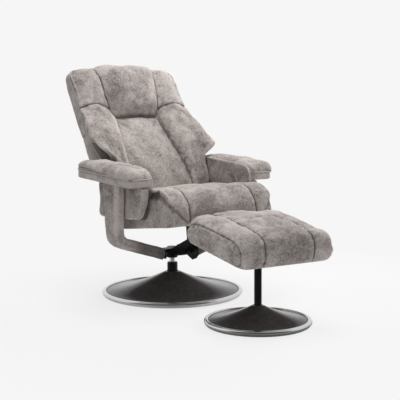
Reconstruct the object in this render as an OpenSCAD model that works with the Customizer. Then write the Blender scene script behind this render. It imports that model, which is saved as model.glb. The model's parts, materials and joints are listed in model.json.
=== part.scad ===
// Swivel recliner with a matching footstool, both on round upholstered disc bases.
// Millimetres. The origin is on the floor at the chair's swivel axis, +Z is up and the
// sitter faces -Y, so the sitter's left arm is at +X.

/* [Chair base] */
// Outer radius of the chrome rim
base_r = 300; // [240:5:360]
// Radial width of the chrome rim
base_ring_w = 16; // [10:1:24]
// Height of the rim above the floor
base_ring_h = 25; // [18:1:34]
// Height of the upholstered cover at its neck
base_cover_top = 100; // [80:1:114]
// Radius of the cover at its neck
base_neck_r = 31; // [28:1:40]

/* [Column] */
// Outer radius of the black sleeve
sleeve_r = 22; // [20:0.5:25]
// Wall of the sleeve
sleeve_wall = 5; // [3:0.5:6]
// Top of the sleeve above the floor
sleeve_top = 137; // [128:1:144]
// Radius of the turning spindle
spindle_r = 12.5; // [10:0.5:14]
// Underside of the hub above the floor
hub_z = 160; // [152:1:164]
// Height of the hub's boss
hub_h = 46; // [40:1:56]
// Radius of the hub's boss
hub_r = 22; // [19:1:26]

/* [Arm frame] */
// Thickness of the upholstered bars
bar_t = 46; // [36:1:52]
// Width of the bars, front to back
bar_w = 92; // [70:1:100]
// Rise of the bars from the hub outwards, in degrees
bar_slope = 18; // [12:1:22]
// Height of the bars' centre where they leave the hub
bar_z = 190; // [184:1:196]
// Distance from the middle to where each bar leaves the hub
bar_start_x = 85; // [75:1:100]
// Radius of the bend, at the bar's centre
bar_bend_r = 48; // [36:1:60]

/* [Armrests] */
// Gap between the seat's side and an inner side panel
seat_side_gap = 9; // [6:0.5:16]
// Length of an armrest
armrest_l = 407; // [370:1:430]
// Width of an armrest
armrest_w = 118; // [108:1:130]
// Height of the bordered lower half
armrest_base_h = 34; // [26:1:40]
// Height of the soft top pad
armrest_pad_h = 43; // [34:1:54]
// Height of the armrest's underside at the swivel axis
armrest_z = 503; // [495:1:512]
// Slope of the armrests, rear end up, in degrees
armrest_slope = 3; // [0:0.5:5]
// Thickness of an inner side panel
panel_t = 46; // [36:1:50]
// Height of an inner side panel
panel_h = 140; // [120:1:150]

/* [Seat] */
// Width of the seat
seat_w = 472; // [440:1:476]
// Depth of the seat's border
seat_d = 400; // [380:1:410]
// Height of the flat border under the cushion
seat_border_h = 42; // [34:1:50]
// Height of the cushion above the border
seat_cushion_h = 104; // [90:1:110]
// Rake of the seat, front up, in degrees
seat_rake = 7; // [4:0.5:9]
// Distance of the sewn channels from the middle
seat_seam_x = 158; // [140:1:170]

/* [Back] */
// Length of the back along its lean
back_h = 612; // [580:1:640]
// Half width above the armrests
back_half_w = 274; // [260:1:282]
// Lean of the back, in degrees from upright
back_lean = 32; // [28:0.5:34]
// Depth from the front of the middle cushion to the rear of the shell
back_d = 90; // [80:1:104]
// Forward swell of the headrest
head_swell = 40; // [24:1:50]
// Forward reach of the wings' tips
wing_reach = 84; // [60:1:92]

/* [Footstool] */
// Outer radius of the footstool's chrome rim
stool_base_r = 200; // [170:5:220]
// Height of its cover at the neck
stool_cover_top = 74; // [64:1:84]
// Radius of its column
stool_column_r = 14; // [12:0.5:17]
// Width of the pad
stool_w = 404; // [370:2:430]
// Depth of the pad
stool_d = 384; // [350:4:400]
// Height of the cushion
stool_cushion_h = 97; // [84:1:112]
// Height of the pad's underside at the column
stool_z = 272; // [260:1:285]
// Tilt of the pad, chair side up, in degrees
stool_tilt = 8; // [0:0.5:10]

/* [Hidden] */

// Colours, as the photograph shows them
suede = [0.64, 0.6, 0.58];
suede_dark = [0.3, 0.28, 0.28];
chrome = [0.82, 0.82, 0.84];
black_steel = [0.06, 0.06, 0.06];
plywood = [0.72, 0.58, 0.4];

// Shared clearances and small sizes
run_fit = 0.05;
face_gap = 0.1;
soft_gap = 0.3;
overrun = 2;
round_steps = 64;

// Chair base, derived
floor_pad_t = 3;
base_plate_t = 8;
base_in_r = base_r - base_ring_w;
base_deck_z = floor_pad_t + base_plate_t;
rim_round = 7;
cover_t = 3;
cover_edge_drop = 4;
cover_bend_power = 1.5;
cover_steps = 18;

// Column, derived
sleeve_in_r = sleeve_r - sleeve_wall;
bush_l = 25;
bush_flange_t = 3;
bush_low_z = base_deck_z + 9;
thrust_t = 4;
spindle_low_z = base_deck_z + thrust_t + face_gap;
spindle_top_z = hub_z + hub_h - 6;

// Hub beam and flanges, derived
bar_start_y = -30;
beam_h = 34;
beam_w = 40;
flange_t = 6;
flange_rim = 4;
bolt_r = 4;
bolt_head_r = 7;
bolt_head_h = 5;
bolt_spacing = 60;

// Seat pivot and its side plates, derived
pivot_y = -185;
pivot_z = 255;
plate_t = 5;
plate_x = 30;
plate_end_r = 15;
plate_root_h = 36;
shaft_r = 8;
shaft_nut_r = 12;
shaft_nut_t = 6;
ear_t = 5;
ear_gap = 1;
ear_x = plate_x + plate_t + ear_gap;
tilt_bush_wall = 3;

// Tension knob, derived
knob_y = -150;
knob_z = 197;
knob_drop = 25;
knob_r = 23;
knob_l = 30;
knob_lobes = 7;
knob_lobe_r = 5;
knob_pin_r = 6;
knob_pin_l = 84;
knob_cap_t = 6;
barrel_r = 19;
barrel_l = 46;
web_y = -92;
web_t = 26;
web_h = 44;
web_z = 206;

// Armrests and uprights, derived
panel_in_x = seat_w / 2 + seat_side_gap;
panel_out_x = panel_in_x + panel_t;
spacer_t = 3;
upright_x = panel_out_x + spacer_t + bar_t / 2;
upright_y = -55;
upright_flare_share = 1.16;
armrest_front_y = -233;
armrest_in_x = panel_in_x;
armrest_corner_r = 26;
armrest_swell = 3;
panel_front_y = -231;
panel_rear_y = 115;
panel_sweep = 30;
panel_corner_r = 14;
panel_pillow = 7;
spacer_r = 12;
spacer_z = [400, 450];

// Seat, derived
seat_z = 302;
seat_rear_y = 48;
seat_board_t = 16;
seat_border_t = 8;
seat_corner_r = 30;
seat_crown = 8;
seat_channel = 6;
seat_channel_w = 10;
seat_end_r = 30;
seat_flare = 10;
seat_bracket_t = 4;

// Back, derived
back_y = 69;
back_z = 455;
piping_depth = 38;
cushion_roll = 8;
cushion_edge = 4;
back_board_t = 8;
back_board_inset = 14;
back_low_w = -18;
neck_gap = 5;
back_neck_half_w = panel_in_x - neck_gap;
shell_neck_inset = 26;
shell_neck_share = 0.22;
hinge_y = 112;
hinge_z = 392;
hinge_x = 200;
hinge_pin_r = 5;
hinge_ear_t = 5;
hinge_ear_r = 10;

// Footstool, derived
stool_pos = [-56, -636];
stool_turn = -5;
stool_board_t = 15;
stool_board_inset = 44;
stool_plate_w = 130;
stool_plate_t = 4;
stool_boss_r = 19;
stool_boss_h = 30;
stool_seam_x = 105;
stool_crown = 14;
stool_round = 42;
stool_channel = 6;
stool_channel_w = 14;
stool_valley = 5;
stool_corner_share = 1.4;
stool_lift_share = 0.45;
stool_screw_r = 3;
stool_screw_head_r = 6;

// Helper functions
function mix(a, b, t) = a + (b - a) * t;
function clamp01(t) = min(1, max(0, t));
function ease(t) = clamp01(t) * clamp01(t) * (3 - 2 * clamp01(t));
function arc(cx, cy, r, from, to, steps) =
    [for (i = [0:steps]) let (a = mix(from, to, i / steps)) [cx + r * cos(a), cy + r * sin(a)]];
function round_rect(w, d, r, steps) = concat(
    arc(w / 2 - r, d / 2 - r, r, 0, 90, steps), arc(r - w / 2, d / 2 - r, r, 90, 180, steps),
    arc(r - w / 2, r - d / 2, r, 180, 270, steps), arc(w / 2 - r, r - d / 2, r, 270, 360, steps));

// One pass of corner cutting on a closed outline
function soften(p) = [for (i = [0:len(p) - 1], s = [0.25, 0.75]) mix(p[i], p[(i + 1) % len(p)], s)];

// Value at t in a table of [position, value] rows, eased between the rows
function table(rows, t, i = 0) =
    i >= len(rows) - 1 || t < rows[i + 1][0]
        ? let (j = min(i, len(rows) - 2), a = rows[j], b = rows[j + 1])
            mix(a[1], b[1], clamp01((t - a[0]) / (b[0] - a[0])))
        : table(rows, t, i + 1);

function middle(ring) = [for (p = ring) 1] * ring / len(ring);
function ring_normal(ring) = let (c = middle(ring), n = len(ring))
    [for (i = [0:n - 1]) 1] * [for (i = [0:n - 1]) cross(ring[i] - c, ring[(i + 1) % n] - c)];

// A closed skin over rings of points, with a fan of triangles over each end.
// The rings may run either way round.
module skin(rings) {
    n = len(rings[0]);
    m = len(rings);
    first = middle(rings[0]);
    last = middle(rings[m - 1]);
    ahead = ring_normal(rings[floor(m / 2)]) * (last - first) > 0;
    points = concat([for (r = rings) each r], [first, last]);
    walls = [for (i = [0:m - 2], j = [0:n - 1])
        let (a = i * n + j, b = i * n + (j + 1) % n)
            each [[a, b, b + n], [a, b + n, a + n]]];
    ends = [for (j = [0:n - 1])
        each [[m * n, (j + 1) % n, j], [m * n + 1, (m - 1) * n + j, (m - 1) * n + (j + 1) % n]]];
    polyhedron(points, [for (f = concat(walls, ends)) ahead ? [f[0], f[2], f[1]] : f], convexity = 6);
}

// Ring drawn in towards its centre by a distance
function inset(ring, d) = let (c = middle(ring))
    [for (p = ring) let (v = p - c, l = norm(v)) c + v * max(0.05, (l - d) / max(l, 0.001))];

module tube(r_out, r_in, h) {
    difference() {
        cylinder(r = r_out, h = h, $fn = round_steps);
        translate([0, 0, -overrun]) cylinder(r = r_in, h = h + 2 * overrun, $fn = round_steps);
    }
}

// Frames of the leaning parts
module in_seat() {
    translate([0, 0, seat_z]) rotate([-seat_rake, 0, 0]) children();
}
module in_back() {
    translate([0, back_y, back_z]) rotate([-back_lean, 0, 0]) children();
}
module in_armrest(side) {
    translate([0, 0, armrest_z]) rotate([armrest_slope, 0, 0]) scale_side(side) children();
}
module in_stool() {
    translate([stool_pos[0], stool_pos[1], 0]) children();
}
module in_stool_pad() {
    in_stool() translate([0, 0, stool_z]) rotate([0, 0, stool_turn]) rotate([stool_tilt, 0, 0]) children();
}
module scale_side(side) {
    if (side > 0) children();
    else mirror([1, 0, 0]) children();
}
module at_knob() {
    translate([0, knob_y, knob_z]) rotate([90 + knob_drop, 0, 0]) children();
}

// Shared shapes of the two disc bases
function cover_line(r_out, r_in, z_low, z_top) =
    [for (i = [0:cover_steps]) let (t = i / cover_steps)
        [mix(r_out, r_in, t), z_low + (z_top - z_low) * pow(t, cover_bend_power)]];
module disc_cover(r_out, r_in, bore_r, z_top, rim_z) {
    top = cover_line(r_out, r_in, rim_z, z_top);
    under = [for (i = [cover_steps:-1:0]) let (p = top[i])
        [max(bore_r, p[0] - (i == 0 ? cover_t : 0)), max(base_deck_z + cover_t, p[1] - cover_t)]];
    rotate_extrude($fn = 96)
        polygon(concat([[r_out, base_deck_z]], top, [[bore_r, z_top]],
            [[bore_r, z_top - cover_t]], under, [[r_out - cover_t, base_deck_z]]));
}
module disc_rim(r_out) {
    r_in = r_out - base_ring_w;
    rotate_extrude($fn = 96)
        polygon(concat([[r_in, floor_pad_t], [r_out - cover_t, floor_pad_t]],
            arc(r_out - rim_round, base_ring_h - rim_round, rim_round, 0, 90, 8),
            arc(r_in + cover_t, base_ring_h - cover_t, cover_t, 90, 180, 4)));
}

// Chair base
module base_floor_pad() {
    color(black_steel) cylinder(r = base_in_r - 2 * rim_round, h = floor_pad_t, $fn = 96);
}
module base_plate() {
    color(black_steel) translate([0, 0, floor_pad_t]) cylinder(r = base_in_r, h = base_plate_t, $fn = 96);
}
module base_ring() {
    color(chrome) disc_rim(base_r);
}
module base_cover() {
    color(suede_dark)
        disc_cover(base_in_r, base_neck_r, sleeve_r, base_cover_top, base_ring_h - cover_edge_drop);
}
module column_sleeve() {
    color(black_steel) translate([0, 0, base_deck_z]) tube(sleeve_r, sleeve_in_r, sleeve_top - base_deck_z);
}
module column_bush_top() {
    color(black_steel) union() {
        translate([0, 0, sleeve_top - bush_l]) tube(sleeve_in_r, spindle_r + run_fit, bush_l);
        translate([0, 0, sleeve_top]) tube(sleeve_r - sleeve_wall / 2, spindle_r + run_fit, bush_flange_t);
    }
}
module column_bush_bottom() {
    color(black_steel) translate([0, 0, bush_low_z]) tube(sleeve_in_r, spindle_r + run_fit, bush_l);
}
module column_thrust_pad() {
    color(black_steel) translate([0, 0, base_deck_z]) cylinder(r = sleeve_in_r, h = thrust_t, $fn = round_steps);
}

// Swivelling spindle and hub
module column_spindle() {
    color(chrome) translate([0, 0, spindle_low_z])
        cylinder(r = spindle_r, h = spindle_top_z - spindle_low_z, $fn = round_steps);
}
module hub_flange(side) {
    translate([side > 0 ? bar_start_x - flange_t : -bar_start_x,
        bar_start_y - bar_w / 2 + flange_rim, bar_z - bar_t / 2 + flange_rim])
        cube([flange_t, bar_w - 2 * flange_rim, bar_t - 2 * flange_rim]);
}
module hub_bracket() {
    color(black_steel) difference() {
        union() {
            translate([0, 0, hub_z]) cylinder(r = hub_r, h = hub_h, $fn = round_steps);
            translate([-bar_start_x, bar_start_y - beam_w / 2, bar_z - beam_h / 2])
                cube([2 * bar_start_x, beam_w, beam_h]);
            hub_flange(1);
            hub_flange(-1);
        }
        translate([0, 0, hub_z - overrun])
            cylinder(r = spindle_r, h = spindle_top_z - hub_z + overrun, $fn = round_steps);
        hub_bolt_places() cylinder(r = bolt_r, h = flange_t + overrun, $fn = round_steps);
    }
}
module hub_bolt_places() {
    for (side = [-1, 1], k = [-0.5, 0.5])
        translate([side * bar_start_x, bar_start_y + k * bolt_spacing, bar_z])
            rotate([0, -90 * side, 0]) children();
}
module hub_bolts() {
    color(chrome) hub_bolt_places() union() {
        cylinder(r = bolt_r, h = flange_t, $fn = round_steps);
        translate([0, 0, flange_t]) cylinder(r = bolt_head_r, h = bolt_head_h, $fn = 6);
    }
}

// Side plates that rise from the hub to the seat's pivot
module mech_plate(side) {
    root_y = bar_start_y - beam_w / 2;
    root_low = bar_z - beam_h / 2;
    color(black_steel) scale_side(side) translate([plate_x, 0, 0]) rotate([90, 0, 90]) difference() {
        union() {
            linear_extrude(plate_t) polygon([
                [root_y, root_low], [root_y, root_low + plate_root_h],
                [pivot_y + plate_end_r / 2, pivot_z + plate_end_r * 0.87],
                [pivot_y - plate_end_r * 0.5, pivot_z - plate_end_r * 0.87],
                [mix(root_y, pivot_y, 0.45), root_low + plate_root_h * 0.55]]);
            translate([pivot_y, pivot_z, 0]) cylinder(r = plate_end_r, h = plate_t, $fn = round_steps);
        }
        translate([pivot_y, pivot_z, -overrun])
            cylinder(r = shaft_r, h = plate_t + 2 * overrun, $fn = round_steps);
    }
}
module mech_plate_left() { mech_plate(-1); }
module mech_plate_right() { mech_plate(1); }
module spring_housing() {
    color(black_steel) difference() {
        union() {
            translate([-plate_x, web_y - web_t / 2, web_z - web_h / 2]) cube([2 * plate_x, web_t, web_h]);
            at_knob() translate([0, 0, -knob_l / 2 - face_gap - barrel_l])
                cylinder(r = barrel_r, h = barrel_l, $fn = round_steps);
        }
        at_knob() translate([0, 0, knob_l / 2 - knob_pin_l - face_gap])
            cylinder(r = knob_pin_r + run_fit, h = knob_pin_l, $fn = round_steps);
    }
}
module tilt_shaft() {
    half = ear_x + ear_t + ear_gap;
    color(chrome) translate([-half, pivot_y, pivot_z]) rotate([0, 90, 0])
        cylinder(r = shaft_r, h = 2 * half, $fn = round_steps);
}
module tilt_shaft_nuts() {
    half = ear_x + ear_t + ear_gap;
    color(black_steel) for (side = [-1, 1])
        translate([side * half, pivot_y, pivot_z]) rotate([0, 90 * side, 0])
            cylinder(r = shaft_nut_r, h = shaft_nut_t, $fn = 6);
}

// Bent bars: each station is [x, y, z, across x, across z], the last two a unit direction
function bar_stations() = let (
    cx = upright_x - bar_bend_r,
    line_z = bar_z + (upright_x - bar_start_x) * tan(bar_slope),
    meet_z = line_z,
    reach = bar_bend_r * tan((90 - bar_slope) / 2),
    centre = [upright_x - bar_bend_r, meet_z + reach],
    top_z = armrest_z)
    concat(
        [[bar_start_x, bar_start_y, bar_z, 0, 1 / cos(bar_slope)]],
        [for (a = [-90 + bar_slope:12:0]) bend_station(centre, a)],
        [bend_station(centre, 0)],
        [for (s = [0.5, 1]) [upright_x, upright_y, mix(meet_z + reach, top_z, s), -1, 0,
            mix(1, upright_flare_share, s)]]);
function bend_station(centre, a) = let (
    t = (a + 90 - bar_slope) / (90 - bar_slope))
    [centre[0] + bar_bend_r * cos(a), upright_y, centre[1] + bar_bend_r * sin(a), -cos(a), -sin(a)];
module arm_frame(side) {
    stations = bar_stations();
    last = len(stations) - 1;
    section = round_rect(bar_w, bar_t, bar_t / 4, 3);
    color(suede_dark) scale_side(side) skin([for (i = [0:last]) let (s = stations[i]) [for (p = section)
        let (y = s[1] + p[0] * (len(s) > 5 ? s[5] : 1), lift = i == last ? y * tan(armrest_slope) : 0)
            [s[0] + p[1] * s[3], y, s[2] + p[1] * s[4] + lift]]]);
}
module arm_frame_left() { arm_frame(-1); }
module arm_frame_right() { arm_frame(1); }

// Armrests: a bordered base and a soft pad on it
module armrest_base(side) {
    color(suede) in_armrest(side)
        translate([armrest_in_x + armrest_w / 2, armrest_front_y + armrest_l / 2, 0])
            linear_extrude(armrest_base_h) polygon(round_rect(armrest_w, armrest_l, armrest_corner_r, 6));
}
module armrest_base_left() { armrest_base(-1); }
module armrest_base_right() { armrest_base(1); }
pad_end_shares = [[0, 0.1], [0.015, 0.52], [0.04, 0.74], [0.08, 0.9], [0.14, 1], [0.5, 1.04],
    [0.86, 1], [0.93, 0.88], [0.97, 0.68], [0.99, 0.45], [1, 0.1]];
pad_width_shares = [[0, 0.72], [0.015, 0.84], [0.04, 0.92], [0.08, 0.97], [0.14, 1], [0.86, 1],
    [0.93, 0.97], [0.97, 0.88], [0.99, 0.78], [1, 0.7]];
pad_outline_shares = [[-0.5, 0], [-0.5, 0.35], [-0.49, 0.72], [-0.36, 0.98], [0, 1.04],
    [0.36, 0.98], [0.49, 0.72], [0.5, 0.35], [0.5, 0]];
module armrest_pad(side) {
    w = armrest_w + 2 * armrest_swell;
    color(suede) in_armrest(side)
        translate([armrest_in_x + armrest_w / 2, armrest_front_y - armrest_swell, armrest_base_h])
            skin([for (row = pad_end_shares) let (
                y = row[0] * (armrest_l + 2 * armrest_swell), k = table(pad_width_shares, row[0]))
                [for (p = soften(pad_outline_shares)) [p[0] * w * k, y, p[1] * armrest_pad_h * row[1]]]]);
}
module armrest_pad_left() { armrest_pad(-1); }
module armrest_pad_right() { armrest_pad(1); }

// Inner side panels, pillowed at both faces
function panel_top(y) = armrest_z + y * tan(armrest_slope);
function panel_outline() = let (low = armrest_z - panel_h, over = 3 * panel_pillow)
    soften([
        [panel_rear_y, panel_top(panel_rear_y) + over], [panel_front_y, panel_top(panel_front_y) + over],
        [mix(panel_front_y, panel_front_y + panel_sweep, 0.5), mix(panel_top(panel_front_y), low, 0.6)],
        [panel_front_y + panel_sweep, low], [panel_front_y + 2 * panel_sweep, low - soft_gap],
        [panel_rear_y - panel_sweep, low - panel_corner_r], [panel_rear_y, low - panel_corner_r]]);
panel_pillow_shares = [[0, 1], [0.08, 0.4], [0.22, 0], [0.78, 0], [0.92, 0.4], [1, 1]];
module arm_panel(side) {
    outline = soften(panel_outline());
    color(suede) scale_side(side) difference() {
        skin([for (row = panel_pillow_shares) inset(
            [for (p = outline) [panel_in_x + row[0] * panel_t, p[0], p[1]]], row[1] * panel_pillow)]);
        translate([0, 0, armrest_z]) rotate([armrest_slope, 0, 0])
            translate([0, -base_r, 0]) cube([base_r * 2, base_r * 2, armrest_base_h]);
    }
}
module arm_panel_left() { arm_panel(-1); }
module arm_panel_right() { arm_panel(1); }
module arm_spacers() {
    color(black_steel) for (side = [-1, 1], z = spacer_z)
        translate([side * panel_out_x, upright_y, z]) rotate([0, 90 * side, 0])
            cylinder(r = spacer_r, h = spacer_t, $fn = round_steps);
}

// Tension knob
module tension_knob() {
    color(black_steel) at_knob() translate([0, 0, -knob_l / 2]) difference() {
        union() {
            cylinder(r = knob_r - knob_lobe_r / 2, h = knob_l, $fn = round_steps);
            for (i = [0:knob_lobes - 1]) rotate([0, 0, i * 360 / knob_lobes])
                translate([knob_r - knob_lobe_r, 0, 0]) cylinder(r = knob_lobe_r, h = knob_l, $fn = 24);
        }
        translate([0, 0, -overrun]) cylinder(r = knob_pin_r, h = knob_l - knob_cap_t + overrun, $fn = round_steps);
    }
}
module knob_spindle() {
    color(chrome) at_knob() translate([0, 0, knob_l / 2 - knob_pin_l])
        cylinder(r = knob_pin_r, h = knob_pin_l - knob_cap_t, $fn = round_steps);
}

// Seat
module seat_plan(w, d, r, h) {
    translate([0, seat_rear_y - seat_d / 2, 0]) linear_extrude(h) polygon(round_rect(w, d, r, 6));
}
module seat_border() {
    color(suede) in_seat() difference() {
        seat_plan(seat_w - 2 * seat_border_t / 4, seat_d, seat_corner_r, seat_border_h);
        translate([0, 0, -overrun]) seat_plan(seat_w - 2 * seat_border_t, seat_d - 2 * seat_border_t,
            seat_corner_r - seat_border_t, seat_border_h + 2 * overrun);
    }
}
module seat_board() {
    color(plywood) in_seat() translate([0, 0, seat_border_h - seat_board_t])
        seat_plan(seat_w - 2 * seat_border_t, seat_d - 2 * seat_border_t,
            seat_corner_r - seat_border_t, seat_board_t);
}
seat_profile_shares = [[0, 0], [0, 0.5], [0.02, 0.9], [0.08, 1], [0.4, 1.02], [0.72, 1.03], [0.86, 0.99],
    [0.95, 0.84], [1.04, 0.55], [1.065, 0.2], [1.065, -0.15], [1.05, -0.38], [1.024, -0.4],
    [1.008, -0.34], [1.008, -0.1], [1.008, -0.004], [1.004, 0], [0.99, 0], [0.02, 0]];
seat_station_shares = [0, 0.012, 0.045, 0.1, 0.17, 0.25, 0.29, 0.33, 0.37, 0.45, 0.7, 1];
function seat_stations() = concat(
    [for (s = seat_station_shares) -seat_w / 2 * (1 - s)],
    [for (i = [len(seat_station_shares) - 2:-1:0]) seat_w / 2 * (1 - seat_station_shares[i])]);
function end_inset(x, half, r) = let (d = max(0, abs(x) - (half - r))) r - sqrt(max(0, r * r - d * d));
function channel(x, seam, w, depth) = depth * max(0, 1 - abs(abs(x) - seam) / w);
module seat_cushion() {
    half = seat_w / 2;
    outline = soften(seat_profile_shares);
    mid_y = seat_rear_y - seat_d / 2;
    color(suede) in_seat() skin([for (x = seat_stations()) let (
        e = end_inset(x, half, seat_end_r),
        dip = channel(x, seat_seam_x, seat_channel_w, seat_channel),
        crown = seat_crown * (1 - pow(x / half, 2)))
        [for (p = outline) let (
            up = clamp01((p[1] - 0.3) / 0.5),
            front = clamp01((p[0] - 0.9) / 0.1),
            skirt = clamp01((p[0] - 1.01) / 0.02),
            flare = seat_flare * ease((p[0] - 0.78) / 0.14) * x / half,
            y = seat_rear_y - p[0] * seat_d + front * e + skirt * dip * 0.7 - (p[0] < 0.1 ? e * 0.3 : 0),
            z = seat_border_h + p[1] * seat_cushion_h + up * (crown - dip - e * 0.9))
            [x + flare, y, z]]]);
}
module seat_bracket() {
    y0 = pivot_y * cos(seat_rake) - (pivot_z - seat_z) * sin(seat_rake);
    z0 = pivot_y * sin(seat_rake) + (pivot_z - seat_z) * cos(seat_rake);
    top = seat_border_h - seat_board_t;
    w = 2 * (ear_x + ear_t);
    color(black_steel) in_seat() difference() {
        union() {
            translate([-w, y0 - w / 2, top - seat_bracket_t]) cube([2 * w, w, seat_bracket_t]);
            for (side = [-1, 1]) scale_side(side) {
                translate([ear_x, y0 - plate_end_r * 1.2, z0])
                    cube([ear_t, 2 * plate_end_r * 1.2, top - z0 - seat_bracket_t / 2]);
                translate([ear_x, y0, z0]) rotate([0, 90, 0])
                    cylinder(r = plate_end_r * 1.2, h = ear_t, $fn = round_steps);
            }
        }
        translate([-w, y0, z0]) rotate([0, 90, 0])
            cylinder(r = shaft_r + tilt_bush_wall, h = 2 * w, $fn = round_steps);
    }
}
module tilt_bushes() {
    color(black_steel) for (side = [-1, 1]) scale_side(side)
        translate([ear_x, pivot_y, pivot_z]) rotate([0, 90, 0])
            tube(shaft_r + tilt_bush_wall, shaft_r + run_fit, ear_t);
}

// Hinge between seat and back
function seat_local(y, z) = [y * cos(seat_rake) - (z - seat_z) * sin(seat_rake),
    y * sin(seat_rake) + (z - seat_z) * cos(seat_rake)];
module seat_hinge_ears() {
    pin = seat_local(hinge_y, hinge_z);
    foot = seat_rear_y;
    color(black_steel) in_seat() for (side = [-1, 1]) scale_side(side)
        translate([hinge_x, 0, 0]) rotate([90, 0, 90]) difference() {
            union() {
                linear_extrude(hinge_ear_t) polygon([
                    [foot, seat_border_h / 8], [pin[0] + hinge_ear_r * 0.7, pin[1] - hinge_ear_r * 0.7],
                    [pin[0] - hinge_ear_r * 0.9, pin[1] + hinge_ear_r * 0.4], [foot, seat_border_h]]);
                translate([pin[0], pin[1], 0]) cylinder(r = hinge_ear_r, h = hinge_ear_t, $fn = round_steps);
            }
            translate([pin[0], pin[1], -overrun])
                cylinder(r = hinge_pin_r, h = hinge_ear_t + 2 * overrun, $fn = round_steps);
        }
}
module hinge_pins() {
    color(chrome) for (side = [-1, 1]) scale_side(side)
        translate([hinge_x - hinge_ear_t - ear_gap, hinge_y, hinge_z]) rotate([0, 90, 0])
            cylinder(r = hinge_pin_r, h = 2 * hinge_ear_t + 2 * ear_gap, $fn = round_steps);
}
function back_local(y, z) = [
    (y - back_y) * cos(back_lean) - (z - back_z) * sin(back_lean),
    (y - back_y) * sin(back_lean) + (z - back_z) * cos(back_lean)];
module back_hinge_ears() {
    pin = back_local(hinge_y, hinge_z);
    color(black_steel) in_back() for (side = [-1, 1]) scale_side(side)
        translate([hinge_x - hinge_ear_t - ear_gap / 2, 0, 0]) rotate([90, 0, 90]) difference() {
            union() {
                linear_extrude(hinge_ear_t) polygon([
                    [piping_depth + back_board_t, back_low_w], [pin[0] - hinge_ear_r, pin[1]],
                    [pin[0] + hinge_ear_r, pin[1]], [pin[0] + hinge_ear_r, back_low_w]]);
                translate([pin[0], pin[1], 0]) cylinder(r = hinge_ear_r, h = hinge_ear_t, $fn = round_steps);
            }
            translate([pin[0], pin[1], -overrun])
                cylinder(r = hinge_pin_r + run_fit, h = hinge_ear_t + 2 * overrun, $fn = round_steps);
        }
}

// Back: the outline of the shell from the bottom up, as [height, half width] shares
back_side_shares = [[-0.03, 0.8], [0.215, 0.8], [0.24, 0.84], [0.268, 0.97], [0.3, 1], [0.6, 1],
    [0.86, 1], [0.93, 1], [0.953, 0.985], [0.968, 0.95], [0.98, 0.88], [0.99, 0.72], [1, 0.35]];
function shell_half(r) = r[0] < shell_neck_share
    ? back_neck_half_w - shell_neck_inset : r[1] * back_half_w;
function back_outline() = concat(
    [for (r = back_side_shares) [shell_half(r), max(back_low_w, r[0] * back_h)]],
    [for (i = [len(back_side_shares) - 1:-1:0]) let (r = back_side_shares[i])
        [-shell_half(r), max(back_low_w, r[0] * back_h)]]);
shell_depth_shares = [[0, 0.03], [0.1, 0], [0.5, 0], [0.72, 0.06], [0.88, 0.2], [1, 0.5]];
shell_top_share = 0.45;
module back_shell() {
    outline = back_outline();
    depth = back_d - piping_depth;
    color(suede) in_back() difference() {
        skin([for (row = shell_depth_shares)
            inset([for (p = outline)
                let (thin = 1 - shell_top_share * ease((p[1] / back_h - 0.82) / 0.18))
                    [p[0], piping_depth + row[0] * depth * thin, p[1]]], row[1] * depth)]);
        translate([0, piping_depth - overrun, 0]) rotate([90, 0, 0]) mirror([0, 0, 1])
            linear_extrude(back_board_t + overrun) board_plan(0);
    }
}
module board_plan(slack) {
    polygon([for (p = back_outline()) [
        p[0] * (1 - (back_board_inset - slack) / back_half_w),
        mix(back_h / 2, p[1], 1 - 2 * (back_board_inset - slack) / back_h)]]);
}
module back_board() {
    color(plywood) in_back() translate([0, piping_depth, 0]) rotate([90, 0, 0]) mirror([0, 0, 1])
        linear_extrude(back_board_t) board_plan(0);
}

// Half width of the middle panel, and the front of each cushion, along the back
panel_half_shares = [[-0.02, 0.535], [0.16, 0.545], [0.29, 0.53], [0.48, 0.5], [0.585, 0.428],
    [0.605, 0.428], [0.8, 0.5], [0.9, 0.545], [1, 0.57]];
function panel_half(t) = table(panel_half_shares, t) * back_half_w;
middle_front_shares = [[-0.03, -0.1], [-0.02, 0.16], [0, 0.25], [0.1, 0.25], [0.3, 0.05], [0.5, -0.55],
    [0.575, -0.78], [0.59, -0.9]];
middle_station_shares = [-0.029, -0.025, -0.01, 0.03, 0.1, 0.2, 0.3, 0.4, 0.5, 0.56, 0.585, 0.595];
head_front_shares = [[0.597, -0.75], [0.603, -0.5], [0.63, 0.05], [0.68, 0.55], [0.78, 0.9], [0.85, 1],
    [0.93, 0.98], [0.955, 0.93], [0.972, 0.82], [0.992, 0.5], [1.003, 0.2], [1.01, -0.7]];
function cushion_front(t, rows, u) = table(rows, t) * head_swell - cushion_roll * (1 - sqrt(1 - pow(u, 4)));
cushion_u_shares = [-1, -0.985, -0.93, -0.8, -0.5, 0, 0.5, 0.8, 0.93, 0.985, 1];
function cushion_ring(t, rows) = let (half = panel_half(t) - soft_gap / 2, z = t * back_h) concat(
    [for (u = cushion_u_shares)
        [u * half, min(-cushion_front(t, rows, u), piping_depth - cushion_edge), z]],
    [[half, piping_depth, z], [0, piping_depth, z], [-half, piping_depth, z]]);
module back_cushion() {
    color(suede) in_back() skin([for (t = middle_station_shares) cushion_ring(t, middle_front_shares)]);
}
module headrest_cushion() {
    color(suede) in_back() skin([for (row = head_front_shares) cushion_ring(row[0], head_front_shares)]);
}

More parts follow.
